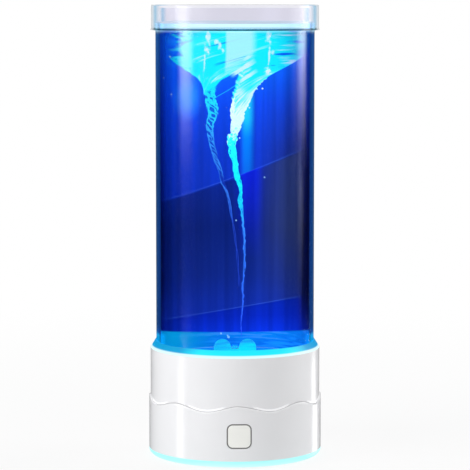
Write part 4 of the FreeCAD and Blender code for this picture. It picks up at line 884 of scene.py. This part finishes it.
def from_spot(tree, place, x, z, wide, tall):
    """Distance from a spot of the front view in shares of its reach across and up, all in mm."""
    off = add(tree, "VectorMath", MINUS, [place, (x * MM, 0, z * MM)])
    off = add(tree, "VectorMath", OVER, [off, (wide * MM, EVERY_DEPTH, tall * MM)])
    return add(tree, "VectorMath", LENGTH, [off]).outputs["Value"]


cloud = add(tree, "TexNoise", Vector=swirl(tree, place, 3.0, 0.1), Scale=1.0, Detail=4.0)
near_top = add(tree, "MapRange", [height, 185 * MM, 240 * MM, -0.4, 0.16])
bright = add(tree, "Math", PLUS, [cloud, near_top])
bright = add(tree, "MapRange", [bright, 0.5, 0.75, 0.0, 0.85])
tone = add(tree, "Mix", COLOURS, [bright, tone, "#2896FF"])
# A painted glow at the upper left.
painted_left_glow = from_spot(tree, place, -26, 203, 11, 16)
painted_left_glow = add(tree, "MapRange", SMOOTH, [painted_left_glow, 0.1, 1.0, 0.75, 0.0])
tone = add(tree, "Mix", COLOURS, [painted_left_glow, tone, "#349EFA"])
# Upright streaks of painted light and shade.
upright = add(tree, "Mapping", [place], Scale=(1.0, 1.0, 0.02))
shade = mottled(tree, upright, STREAK, 3.0, (0.84, 1.1), NARROW)
tone = add(tree, "Mix", TINT, [1.0, tone, shade])
print("nodes so far:", len(tree.nodes))

# %% The painted dark shade at the right edge, and the layer over the lights
# Painted shade: the far side turns nearly black at its right edge.
black = add(tree, "MapRange", [east, 38.8 * MM, 39.6 * MM, 0.0, 0.9])
black = faded(tree, black, (height, 165, 205, 1.0, 0.0), (height, 72, 90, 0.3, 1.0))
tone = add(tree, "Mix", COLOURS, [black, tone, "#04082E"])
below = add(tree, "MapRange", [lit, (LIT_LINE - 0.8) * MM, LIT_LINE * MM, 1.0, 0.0])
tone = add(tree, "Mix", COLOURS, [below, tone, over_lights])
print("nodes in the deep water:", len(tree.nodes))

# %% The water's inner face
tone = tone.outputs["Result"]
# The far side glows with its painted light and shade.
skin = add(tree, "BsdfPrincipled", Base_Color=tone, Roughness=0.6, Specular_IOR_Level=0.0,
           Emission_Color=tone, Emission_Strength=0.7)
away = add(tree, "NewGeometry").outputs["Backfacing"]
soft = any_ray(tree, "Is Shadow Ray", "Is Diffuse Ray")
open_side = add(tree, "Math", LARGER, [away, soft])
through = add(tree, "BsdfTransparent", Color="#FFFFFF")
surface = add(tree, "MixShader", [open_side, skin, through])
add(tree, "OutputMaterial", [surface])
material.use_backface_culling = True
FINISH["deep_water"] = material
print("open to light, and from outside to the eye")

# %% [markdown]
# The near side of the water is a thin veil. It is nearly clear straight on and deep
# blue where one looks along it, and it is gone over the lights. At its right edge it
# carries the same painted dark shade as the far side.

# %% The water's outer face
material, tree, place = begin("clear water skin")
east, north, height = add(tree, "SeparateXYZ", [place]).outputs
facing = add(tree, "LayerWeight", Blend=0.5).outputs["Facing"]
veil = add(tree, "MapRange", [facing, 0.17, 0.76, 0.02, 0.9])
lit = add(tree, "Math", TIMES_PLUS, [north, 0.1, height])
unlit = add(tree, "MapRange", [lit, (LIT_LINE - 0.6) * MM, (LIT_LINE + 0.4) * MM, 0.0, 0.6])
deeper = add(tree, "MapRange", [lit, (LIT_LINE + 0.4) * MM, 100 * MM, 0.0, 0.4])
unlit = add(tree, "Math", PLUS, [unlit, deeper])
veil = add(tree, "Math", TIMES, [veil, unlit])
tone = add(tree, "MapRange", [height, 130 * MM, 230 * MM, 0.0, 1.0])
tone = add(tree, "Mix", COLOURS, [tone, "#00124E", "#003AB4"])
# Painted shade at the right edge, as on the far side.
black = add(tree, "MapRange", [east, 38.1 * MM, 38.7 * MM, 0.0, 0.85])
black = faded(tree, black, (height, 160, 200, 1.0, 0.0))
tone = add(tree, "Mix", COLOURS, [black, tone, "#020A48"])
skin = add(tree, "BsdfPrincipled", Base_Color=tone, Roughness=0.5, Alpha=veil, IOR=1.33,
           Specular_IOR_Level=0.0)
add(tree, "OutputMaterial", [skin])
FINISH["water_skin"] = material
water.data.materials.append(FINISH["water_skin"])
water.data.materials.append(FINISH["deep_water"])
print("water finishes:", [slot.name for slot in water.data.materials])

# %% [markdown]
# The funnel follows one rule, close to the one in the engineering model: a wide bowl
# hangs from the surface and narrows quickly, then slowly, and its centre swings a
# little as it goes down. Guide lines hold the rule's numbers as attributes of their
# points, and Geometry Nodes turn a guide into a skin or into strands that wind round it.

# %% The rule of the funnel
FUNNEL_TOP = 240.0
FUNNEL_LENGTH = 168.5
BOWL_RADIUS = 41.9
BOWL_SHARE = 0.118
NECK_RADIUS = 26.5
NECK_SHARE = 0.31
DRIFT = 3.6
SWING = 8.5
LATE_SWING = 4.25
SWING_SHARE = 0.155
SETTLED_SHARE = 0.131


def funnel(share):
    """The funnel's centre, radius and height in mm at a share of its depth."""
    thin = NECK_RADIUS * math.exp(-share / NECK_SHARE)
    bowl = math.exp(-((share / BOWL_SHARE) ** 3.5))
    radius = (thin + (BOWL_RADIUS - thin) * bowl) * max(0.0, 1 - share ** 12)
    drift = DRIFT * (1 - math.exp(-((share / 0.667) ** 6)))
    swing = SWING * math.exp(-(((share - 0.339) / SWING_SHARE) ** 2))
    late_swing = LATE_SWING * math.exp(-(((share - 0.494) / SWING_SHARE) ** 2))
    settled = min(1.0, share / SETTLED_SHARE)
    return (drift - swing) * settled, late_swing * settled, radius, FUNNEL_TOP - FUNNEL_LENGTH * share


def between(pairs, place):
    """Reads a list of place and value pairs at a place between them."""
    for (low, first), (high, second) in zip(pairs, pairs[1:]):
        if place <= high:
            part = max(0.0, (place - low) / (high - low))
            return first + (second - first) * part
    return pairs[-1][1]


print("funnel half way down:", [round(number, 1) for number in funnel(0.5)])

# %% Guides, and how a tree reads them
GUIDE_NUMBERS = {"centre": "FLOAT_VECTOR", "reach": "FLOAT", "thick": "FLOAT"}


def guide(name, rows):
    """An upright line; each row is centre x, centre y, height, reach and thickness in mm."""
    mesh = bpy.data.meshes.new(name)
    points = [(0, 0, row[2] * MM) for row in rows]
    mesh.from_pydata(points, [(place, place + 1) for place in range(len(rows) - 1)], [])
    centres = [number * MM for row in rows for number in (row[0], row[1], 0)]
    centre = mesh.attributes.new("centre", GUIDE_NUMBERS["centre"], "POINT")
    centre.data.foreach_set("vector", centres)
    for number, column in (("reach", 3), ("thick", 4)):
        made = mesh.attributes.new(number, GUIDE_NUMBERS[number], "POINT")
        made.data.foreach_set("value", [row[column] * MM for row in rows])
    return mesh


def start_tree(name, sizes, numbers):
    """A geometry tree with a guide, named sizes and a material as its inputs, and the guide's numbers."""
    tree = bpy.data.node_groups.new(name, "GeometryNodeTree")
    tree.interface.new_socket("Geometry", in_out="OUTPUT", socket_type="NodeSocketGeometry")
    tree.interface.new_socket("Geometry", in_out="INPUT", socket_type="NodeSocketGeometry")
    for size, kind in sizes:
        tree.interface.new_socket(size, in_out="INPUT", socket_type="NodeSocket" + kind)
    tree.interface.new_socket("Finish", in_out="INPUT", socket_type="NodeSocketMaterial")
    given = add(tree, "NodeGroupInput").outputs
    read = {}
    for number in numbers:
        kind = {"data_type": GUIDE_NUMBERS[number]}
        read[number] = add(tree, "GeometryNodeInputNamedAttribute", kind, Name=number)
    return tree, given, read


def end_tree(tree, given, shape):
    """Ends a tree with smooth shading, real geometry and the material."""
    smooth = add(tree, "GeometryNodeSetShadeSmooth", [shape])
    real = add(tree, "GeometryNodeRealizeInstances", [smooth])
    painted = add(tree, "GeometryNodeSetMaterial", [real], Material=given["Finish"])
    add(tree, "NodeGroupOutput", [painted])
    print("nodes in the tree of", tree.name, len(tree.nodes))


print("numbers of a guide:", list(GUIDE_NUMBERS))

# %% [markdown]
# A strand is a copy of the guide whose points are pushed out to a circle round it. The
# angle on that circle grows along the strand, which winds it. A noise lets it stray
# and makes it knobbly, so that no two strands are alike.

# %% Where each strand winds
STRAND_SIZES = [("Strands", "Int"), ("Pitch", "Float"), ("Wander", "Float"), ("Wave", "Float")]
STRAND_SIZES += [("Knobs", "Float"), ("Sides", "Int"), ("Seed", "Float")]
IN_TIME = {"noise_dimensions": "4D"}

strands_tree, given, read = start_tree("wound strands", STRAND_SIZES, ["centre", "reach", "thick"])
tree = strands_tree
line = add(tree, "GeometryNodeMeshToCurve", [given["Geometry"]])
copies = add(tree, "GeometryNodeDuplicateElements", {"domain": "SPLINE"}, Geometry=line,
             Amount=given["Strands"])
number = copies.outputs["Duplicate Index"]
run = add(tree, "GeometryNodeSplineParameter").outputs["Length"]
turn = add(tree, "Math", OVER, [run, given["Pitch"]])
start = add(tree, "Math", OVER, [number, given["Strands"]])
lag = add(tree, "Math", TIMES_PLUS, [number, 3.7, given["Seed"]])
wave = add(tree, "Math", OVER, [1.0, given["Wave"]])
stray = add(tree, "TexNoise", IN_TIME, W=lag, Scale=wave, Detail=2.0)
stray = add(tree, "Math", MINUS, [stray, 0.5])
slip = add(tree, "Math", TIMES, [stray, given["Wander"]])
for more in (start, slip):
    turn = add(tree, "Math", PLUS, [turn, more])
angle = add(tree, "Math", TIMES, [turn, 2 * math.pi])
out = add(tree, "Math", TIMES_PLUS, [slip, 0.6, 1.0])
out = add(tree, "Math", TIMES, [out, read["reach"]])
east = add(tree, "Math", {"operation": "COSINE"}, [angle])
north = add(tree, "Math", {"operation": "SINE"}, [angle])
ring = add(tree, "CombineXYZ", [east, north, 0.0])
ring = add(tree, "VectorMath", {"operation": "SCALE"}, Vector=ring, Scale=out)
shift = add(tree, "VectorMath", PLUS, [ring, read["centre"]])
wound = add(tree, "GeometryNodeSetPosition", Geometry=copies.outputs["Geometry"], Offset=shift)
print("sizes of a strand:", [size for size, kind in STRAND_SIZES])

# %% How thick each strand is
THINNEST = 0.1

lump = add(tree, "TexNoise", IN_TIME, W=lag, Scale=wave, Detail=1.0)
lump = add(tree, "Math", MINUS, [lump, 0.5])
lump = add(tree, "Math", TIMES_PLUS, [lump, given["Knobs"], 1.0])
lump = add(tree, "Math", LARGER, [lump, THINNEST])
thick = add(tree, "Math", TIMES, [lump, read["thick"]])
section = add(tree, "GeometryNodeCurvePrimitiveCircle", Resolution=given["Sides"], Radius=1.0)
tubes = add(tree, "GeometryNodeCurveToMesh", Curve=wound, Profile_Curve=section,
            Scale=thick, Fill_Caps=True)
end_tree(tree, given, tubes)

# %% [markdown]
# Two more trees are simpler. One stretches a round skin over a guide, and one puts a
# small ball at each point of a guide, which makes bubbles.

# %% The trees for the skin and for bubbles
skin_tree, given, read = start_tree("round skin", [("Sides", "Int")], ["centre", "thick"])
tree = skin_tree
line = add(tree, "GeometryNodeMeshToCurve", [given["Geometry"]])
section = add(tree, "GeometryNodeCurvePrimitiveCircle", Resolution=given["Sides"], Radius=1.0)
tube = add(tree, "GeometryNodeCurveToMesh", Curve=line, Profile_Curve=section, Scale=read["thick"])
moved = add(tree, "GeometryNodeSetPosition", Geometry=tube, Offset=read["centre"])
end_tree(tree, given, moved)

bubble_tree, given, read = start_tree("bubbles", [("Detail", "Int")], ["centre", "thick"])
tree = bubble_tree
spots = add(tree, "GeometryNodeMeshToPoints", Mesh=given["Geometry"])
spots = add(tree, "GeometryNodeSetPosition", Geometry=spots, Offset=read["centre"])
ball = add(tree, "GeometryNodeMeshIcoSphere", Radius=1.0, Subdivisions=given["Detail"]).outputs["Mesh"]
balls = add(tree, "GeometryNodeInstanceOnPoints", Points=spots, Instance=ball, Scale=read["thick"])
end_tree(tree, given, balls)


# %% A helper that grows a piece from a guide and a tree
def grow(name, tree, rows, finish, **sizes):
    """Runs a tree on a guide and keeps the result as a plain mesh that rides with the water."""
    piece = bpy.data.objects.new(name, guide(name, rows))
    scene.collection.objects.link(piece)
    modifier = piece.modifiers.new("grow", "NODES")
    modifier.node_group = tree
    for socket in tree.interface.items_tree:
        if socket.in_out == "INPUT" and socket.name in sizes:
            modifier[socket.identifier] = sizes[socket.name]
        if socket.name == "Finish":
            modifier[socket.identifier] = FINISH[finish]
    seen = piece.evaluated_get(bpy.context.evaluated_depsgraph_get())
    mesh = bpy.data.meshes.new_from_object(seen)
    piece.modifiers.remove(modifier)
    piece.data = mesh
    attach(piece, "base")
    print(name, "faces:", len(mesh.polygons))


print("ready to grow")

# %% [markdown]
# Foam and bubbles in the funnel catch the light from below, so they glow: white where
# they are thick, cyan where they are thin, and blue down the thread.

# %% Finishes of the foam
FOAM_HEIGHTS = (70, 245)
FLECK = 1.6


def foam(name, stops, strength):
    """Glowing foam whose colour runs with height, with white flecks."""
    material, tree, place = begin(name)
    low, high = FOAM_HEIGHTS
    height = add(tree, "SeparateXYZ", [place]).outputs["Z"]
    drift = mottled(tree, place, FLECK, 2.0, (-0.035, 0.035))
    rise = add(tree, "MapRange", [height, low * MM, high * MM, 0.0, 1.0])
    rise = add(tree, "Math", PLUS, [rise, drift])
    tone = add(tree, "ValToRGB", [rise], stops=stops)
    base = add(tree, "Mix", TINT, [1.0, tone, "#505050"])
    skin = add(tree, "BsdfPrincipled", Base_Color=base, Roughness=0.5, Specular_IOR_Level=0.1,
               Emission_Color=tone, Emission_Strength=strength)
    add(tree, "OutputMaterial", [skin])
    FINISH[name] = material


BRIGHT_STOPS = [(0.0, "#2E5AF0"), (0.34, "#3C8CFF"), (0.42, "#1EC8FF"), (0.48, "#14F0FF"), (0.632, "#28FAFA")]
BRIGHT_STOPS += [(0.662, "#E6FFFF"), (0.79, "#F5FFFF"), (0.825, "#5AFAFA"), (1.0, "#18FAFA")]
SOFT_STOPS = [(0.0, "#2840D2"), (0.35, "#2850DC"), (0.47, "#3C82F0"), (0.64, "#3CA0F5")]
SOFT_STOPS += [(0.74, "#28E6FA"), (1.0, "#18FAFA")]
DEEP_STOPS = [(0.0, "#14289A"), (0.45, "#1634B4"), (0.6, "#1A4AD6"), (0.72, "#1E6AF0")]
DEEP_STOPS += [(0.8, "#1E96FA"), (0.87, "#18DCFA")]
FROTH_STOPS = [(0.0, "#8CC8FF"), (0.7, "#C8F5FF"), (0.85, "#FFFFFF"), (1.0, "#FFFFFF")]
foam("bright foam", BRIGHT_STOPS, 1.4)
foam("soft foam", SOFT_STOPS, 1.25)
foam("deep foam", DEEP_STOPS, 1.0)
foam("white froth", FROTH_STOPS, 1.2)
print("finishes so far:", len(FINISH))

# %% [markdown]
# The skin of the funnel is a sheet of streaks that climb to the right. It is closed in
# the bowl, torn at its left end, and open between the two bright sides lower down. A
# sum of masks says how much of it there is at each place, and a clear alpha does the
# rest.

# %% The two bright sides of the skin
material, tree, place = begin("funnel skin")
streaks = swirl(tree, place, 7.0, 0.06)
streaks = add(tree, "TexNoise", Vector=streaks, Scale=1.0, Detail=6.0, Roughness=0.6)
centre = add(tree, "Attribute", {"attribute_name": "centre"}).outputs["Vector"]
radius = add(tree, "Attribute", {"attribute_name": "thick"}).outputs["Fac"]
middle = add(tree, "SeparateXYZ", [centre]).outputs["X"]
east, north, height = add(tree, "SeparateXYZ", [place]).outputs
side = add(tree, "Math", MINUS, [east, middle])
side = add(tree, "Math", OVER, [side, radius])
sooner = add(tree, "MapRange", [height, 192 * MM, 204 * MM, 0.0, 0.24])
right = add(tree, "Math", PLUS, [side, sooner])
right = add(tree, "MapRange", SMOOTH, [right, 0.32, 0.62, -0.3, 0.32])
left = add(tree, "MapRange", SMOOTH, [side, -0.3, -0.62, -0.3, 0.32])
holes = add(tree, "MapRange", [height, 203 * MM, 214 * MM, -0.5, 0.0])
left = add(tree, "Math", PLUS, [left, holes])
edge = add(tree, "Math", LARGER, [right, left])
print("nodes so far:", len(tree.nodes))

# %% Where the skin is closed, torn or gone
BOWL_SLANT = -0.55
TATTER = 3.4

slant = add(tree, "Math", TIMES_PLUS, [east, BOWL_SLANT, height])
bowl = add(tree, "MapRange", SMOOTH, [slant, 217 * MM, 222 * MM, 0.0, 0.7])
bowl = faded(tree, bowl, (east, -37, -18, 0.0, 1.0))
sink = add(tree, "MapRange", [height, 192 * MM, 207 * MM, -0.5, 0.0])
fade = add(tree, "MapRange", SMOOTH, [east, -42 * MM, -20 * MM, -1.15, 0.0])
tilt = (0.0, math.radians(8), 0.0)
tatters = add(tree, "Mapping", [place], Scale=(0.14, 0.14, 1.0), Rotation=tilt)
tatters = mottled(tree, tatters, TATTER, 3.0, (-0.8, 0.8), NARROW)
tatters = faded(tree, tatters, (east, -30, -17, 1.0, 0.0))
cover = streaks
for more in (edge, bowl, sink, fade, tatters):
    cover = add(tree, "Math", PLUS, [cover, more])
veil = add(tree, "MapRange", [cover, 0.42, 0.6, 0.0, 1.0])
print("nodes so far:", len(tree.nodes))

# %% Colour of the skin
SKIN_STOPS = [(0.28, "#1050F0"), (0.36, "#1496F8"), (0.43, "#1CF8FA"), (0.56, "#18FAFA")]
SKIN_STOPS += [(0.62, "#8CFFFF"), (0.67, "#F5FFFF")]
RIPPLE_HEIGHT = 2.2

cloud = add(tree, "TexNoise", Vector=swirl(tree, place, 2.2, 0.1), Scale=1.0, Detail=3.0)
mixed = add(tree, "Mix", [0.45, streaks, cloud])
tilt = (0.0, math.radians(-10), 0.0)
ripples = add(tree, "Mapping", [place], Scale=(0.06, 0.06, 1.0), Rotation=tilt)
ripples = mottled(tree, ripples, RIPPLE_HEIGHT, 4.0, (0.2, 0.76))
rippled = add(tree, "MapRange", SMOOTH, [east, 12 * MM, 26 * MM, 0.0, 0.75])
mixed = add(tree, "Mix", [rippled, mixed, ripples])
froth_x = add(tree, "MapRange", SMOOTH, [east, -4 * MM, 4 * MM, 0.0, 1.0])
froth_z = add(tree, "MapRange", SMOOTH, [height, 214 * MM, 206 * MM, 0.0, 0.12])
froth = add(tree, "Math", TIMES, [froth_x, froth_z])
blue = add(tree, "MapRange", [east, -38 * MM, -22 * MM, -0.16, 0.03])
for more in (froth, blue):
    mixed = add(tree, "Math", PLUS, [mixed, more])
tone = add(tree, "ValToRGB", [mixed], stops=SKIN_STOPS)
print("stops of the skin's colour:", len(SKIN_STOPS))

# %% [markdown]
# Where the near side of the bowl catches the lamps, painted highlights lie: a broad
# pale patch and small bright spots and strokes. They lie on the foam itself, so they
# stay on it from every side.

# %% The painted pale patch of light
near = add(tree, "Math", {"operation": "LESS_THAN"}, [north, 0.0])
patch = add(tree, "MapRange", [east, -7.4 * MM, -6.2 * MM, 0.0, 1.0])
patch_right = add(tree, "MapRange", SMOOTH, [east, 6 * MM, 11 * MM, 1.0, 0.0])
ragged = add(tree, "MapRange", [streaks, 0.3, 0.7, -5 * MM, 5 * MM])
patch_z = add(tree, "Math", PLUS, [slant, ragged])
patch_z = add(tree, "MapRange", [patch_z, 222 * MM, 226 * MM, 0.0, 0.85])
for more in (patch_right, patch_z, near):
    patch = add(tree, "Math", TIMES, [patch, more])
tone = add(tree, "Mix", COLOURS, [patch, tone, "#C6FFF6"])
print("nodes so far:", len(tree.nodes))

# %% Small painted catches of light
# Each catch of light is its centre east and high, and its reach east and high, in mm.
CATCHES = [(-17.3, 232.6, 2.0, 3.4), (-16.6, 239.0, 1.4, 4.5), (-18.3, 226.0, 0.7, 8.0)]
CATCHES += [(-12.2, 236.9, 1.2, 2.0), (-10.2, 234.2, 1.3, 2.2), (-8.6, 231.6, 1.2, 2.0)]
CATCHES += [(17.4, 219.6, 2.4, 2.8), (16.6, 239.0, 1.8, 4.0), (17.2, 229.0, 0.7, 9.0)]
CATCHES += [(19.2, 230.4, 1.0, 1.8)]
CATCH_EDGE = 2.5

uneven = mottled(tree, place, CATCH_EDGE, 3.0, (-0.35, 0.45), NARROW)
for catch in CATCHES:
    spot = from_spot(tree, place, *catch)
    spot = add(tree, "Math", PLUS, [spot, uneven])
    spot = add(tree, "MapRange", SMOOTH, [spot, 0.2, 1.1, 0.85, 0.0])
    spot = add(tree, "Math", TIMES, [spot, near])
    tone = add(tree, "Mix", COLOURS, [spot, tone, "#F0FFFF"])
print("catches of light:", len(CATCHES))

# %% Painted strokes of light
# Each stroke is its place across, its two ends along and its half width, in mm.
STROKE_TURN = math.radians(35)
STROKE_EDGE = 0.5
STROKES = [(180.0, 121, 138, 1.1), (174.2, 122, 136, 0.8), (169.0, 115.5, 123, 0.35)]
STROKES += [(183.5, 131, 139, 0.5), (177.2, 126, 134, 0.4)]

turned = add(tree, "VectorRotate", {"rotation_type": "Y_AXIS"}, Vector=place, Angle=STROKE_TURN)
split = add(tree, "SeparateXYZ", [turned]).outputs
along = split["X"]
wobble = add(tree, "MapRange", [streaks, 0.3, 0.7, -0.8 * MM, 0.8 * MM])
across = add(tree, "Math", PLUS, [split["Z"], wobble])
for middle, first, last, half in STROKES:
    stroke = stripe(tree, across, middle, half, half + STROKE_EDGE, 0.95)
    stroke = faded(tree, stroke, (along, first, first + 4, 0.0, 1.0), (along, last - 5, last, 1.0, 0.0))
    stroke = add(tree, "Math", TIMES, [stroke, near])
    tone = add(tree, "Mix", COLOURS, [stroke, tone, "#E6FFFF"])
    veil = add(tree, "Math", LARGER, [veil, stroke])
print("strokes of light:", len(STROKES))

# %% Join the skin's finish
tone = tone.outputs["Result"]
base = add(tree, "Mix", TINT, [1.0, tone, "#505050"])
skin = add(tree, "BsdfPrincipled", Base_Color=base, Roughness=0.3, Alpha=veil, IOR=1.33,
           Emission_Color=tone, Emission_Strength=1.25)
add(tree, "OutputMaterial", [skin])
FINISH["funnel skin"] = material
print("finishes:", len(FINISH))

# %% The skin of the funnel
SKIN_END = 0.34
SKIN_STEPS = 60
SKIN_SIDES = 144

rows = [(0, 0, 242.3, 0, 42.1), (0, 0, 241.3, 0, 42.0), (0, 0, 240.5, 0, 41.8)]
for step in range(SKIN_STEPS):
    x, y, radius, height = funnel(SKIN_END * (step / (SKIN_STEPS - 1)) ** 1.5)
    rows.append((x, y, height, 0, radius))
grow("funnel_skin", skin_tree, rows, "funnel skin", Sides=SKIN_SIDES)

# %% [markdown]
# The two bright sides of the funnel are ropes of foam. Each rope is a guide at the
# funnel's edge with strands wound round it: a thick one on the right, white at the
# top and knobbly lower down, which thins to a thread that reaches the impeller, and
# a thinner braid on the left, which fades as it goes down. Lists of pairs give each
# rope's half width, and how far its path strays from the funnel's edge, in mm at
# shares of the depth.

# %% Widths and paths of the ropes
RIGHT_WIDTH = [(0.05, 2.5), (0.17, 5.0), (0.24, 4.6), (0.29, 3.2), (0.33, 2.3), (0.362, 2.6), (0.38, 1.9)]
RIGHT_WIDTH += [(0.4, 2.4), (0.43, 1.3), (0.48, 1.6), (0.51, 1.2), (0.535, 0.6), (0.56, 1.4), (0.585, 1.1)]
RIGHT_WIDTH += [(0.6, 0.62), (0.625, 0.45), (0.8, 0.34), (1.0, 0.22)]
LEFT_WIDTH = [(0.05, 2.0), (0.12, 3.4), (0.15, 3.6), (0.2, 3.2), (0.24, 3.4), (0.3, 2.3), (0.36, 1.7)]
LEFT_WIDTH += [(0.43, 1.5), (0.48, 1.1), (0.53, 0.8), (0.6, 0.6), (1.0, 0.25)]
RIGHT_PATH = [(0.2, 0.0), (0.26, 0.8), (0.3, 1.9), (0.34, 1.3), (0.37, 0.4), (0.4, 0.9), (0.46, 0.4)]
RIGHT_PATH += [(0.51, 1.0), (0.54, 0.2), (0.66, 0.0), (0.7, 0.6), (0.74, 0.5), (0.8, 0.0)]
LEFT_PATH = [(0.19, 0.0), (0.226, 1.0), (0.265, 2.8), (0.304, 1.4), (0.36, 1.6), (0.4, 1.2), (0.43, 0.6)]
LEFT_PATH += [(0.46, 1.0), (0.5, -0.4), (0.54, 0.6), (0.6, 0.0)]
SWAY = [(0.0, 0.2), (0.5, 0.3), (0.62, 0.6), (0.8, 0.8), (0.95, 0.4), (1.0, 0.1)]
RIGHT = (1, RIGHT_WIDTH, RIGHT_PATH)
LEFT = (-1, LEFT_WIDTH, LEFT_PATH)


def edge_rows(rope, first, last, steps, fill, thickness):
    """A guide along a rope: how far strands fill its half width, or zero to sway, and their share of it."""
    side, widths, path = rope
    rows = []
    for step in range(steps):
        share = first + (last - first) * step / (steps - 1)
        x, y, radius, height = funnel(share)
        half = between(widths, share)
        out = max(radius - half, 0.0)
        reach = half * fill if fill else between(SWAY, share)
        rows.append((x + side * out + between(path, share), y, height, reach, half * thickness))
    return rows


print("half width of the right rope half way down:", round(between(RIGHT_WIDTH, 0.5), 2), "mm")

# %% The ropes of foam
WOUND = {"Wander": 0.9, "Wave": 0.008, "Knobs": 1.4, "Sides": 6}
LOOSE = {"Wander": 1.3, "Wave": 0.005, "Knobs": 2.0, "Sides": 6}
BEADED = {"Wander": 0.8, "Wave": 0.003, "Knobs": 3.0, "Sides": 6}
RAGGED = {"Wander": 1.2, "Wave": 0.0021, "Knobs": 3.2, "Sides": 14}
CALM = {"Wander": 0.6, "Wave": 0.004, "Knobs": 1.0, "Sides": 12}

rows = edge_rows(RIGHT, 0.165, 1.02, 260, 0, 0.8)
grow("right_core", strands_tree, rows, "bright foam", Strands=1, Pitch=0.021, Seed=1.0, **RAGGED)
rows = edge_rows(RIGHT, 0.145, 0.97, 320, 0.95, 0.13)
grow("right_rope", strands_tree, rows, "bright foam", Strands=8, Pitch=0.018, Seed=2.0, **LOOSE)
rows = edge_rows(LEFT, 0.08, 0.62, 360, 0.82, 0.17)
grow("left_rope", strands_tree, rows, "soft foam", Strands=5, Pitch=0.012, Seed=5.0, **BEADED)
rows = edge_rows(LEFT, 0.14, 0.56, 160, 0, 0.74)
grow("left_core", strands_tree, rows, "deep foam", Strands=1, Pitch=0.021, Seed=4.0, **CALM)
rows = edge_rows(LEFT, 0.5, 0.85, 90, 0.9, 0.22)
grow("left_thread", strands_tree, rows, "soft foam", Strands=2, Pitch=0.03, Seed=8.0, **WOUND)

# %% [markdown]
# One fine strand crosses the gap between the two ropes. A few bubbles hang in the
# water, and froth sits where the bowl catches most light.

# %% The fine strand round the funnel
FINE = {"Wander": 0.4, "Wave": 0.03, "Knobs": 1.8, "Sides": 5}
FINE_STEPS = 120
FINE_WIDTH = [(0.0, 0.16), (0.3, 0.09), (1.0, 0.06)]

rows = []
for step in range(FINE_STEPS):
    share = 0.1 + 0.15 * step / (FINE_STEPS - 1)
    x, y, radius, height = funnel(share)
    rows.append((x, y, height, radius * 0.95, between(FINE_WIDTH, share)))
grow("fine_strands", strands_tree, rows, "soft foam", Strands=1, Pitch=0.06, Seed=9.0, **FINE)

# %% Bubbles and froth
# Each bubble is its place east, north and high, and its radius, in mm.
FROTH = [(-17.2, -37, 232.2, 0.7), (-16.5, -37, 230.9, 0.5), (17.3, -20, 219.3, 0.9), (18.3, -20, 220.1, 0.6)]
FROTH += [(19.4, -33, 230.0, 0.6), (17.2, -38, 239.5, 0.6), (-17.4, -38, 239.5, 0.6)]
BUBBLES = [(-37, -10, 227.7, 0.55), (-40.5, -4, 215.7, 0.5), (15.7, 2, 209.3, 0.5), (8.3, 2, 198.4, 0.45)]
BUBBLES += [(2.6, 0, 181.3, 0.45), (0.5, -3, 134.7, 0.4), (17.2, 6, 158.5, 0.4), (-36, 4, 206, 0.4)]
BUBBLES += [(-8.1, -2, 69.7, 0.55), (-3.8, -2, 67.6, 0.7), (-4.4, -3, 68.7, 0.45)]
for name, places, detail in (("bowl_froth", FROTH, 3), ("bubbles", BUBBLES, 2)):
    grow(name, bubble_tree, [(x, y, z, 0, size) for x, y, z, size in places], "white froth", Detail=detail)
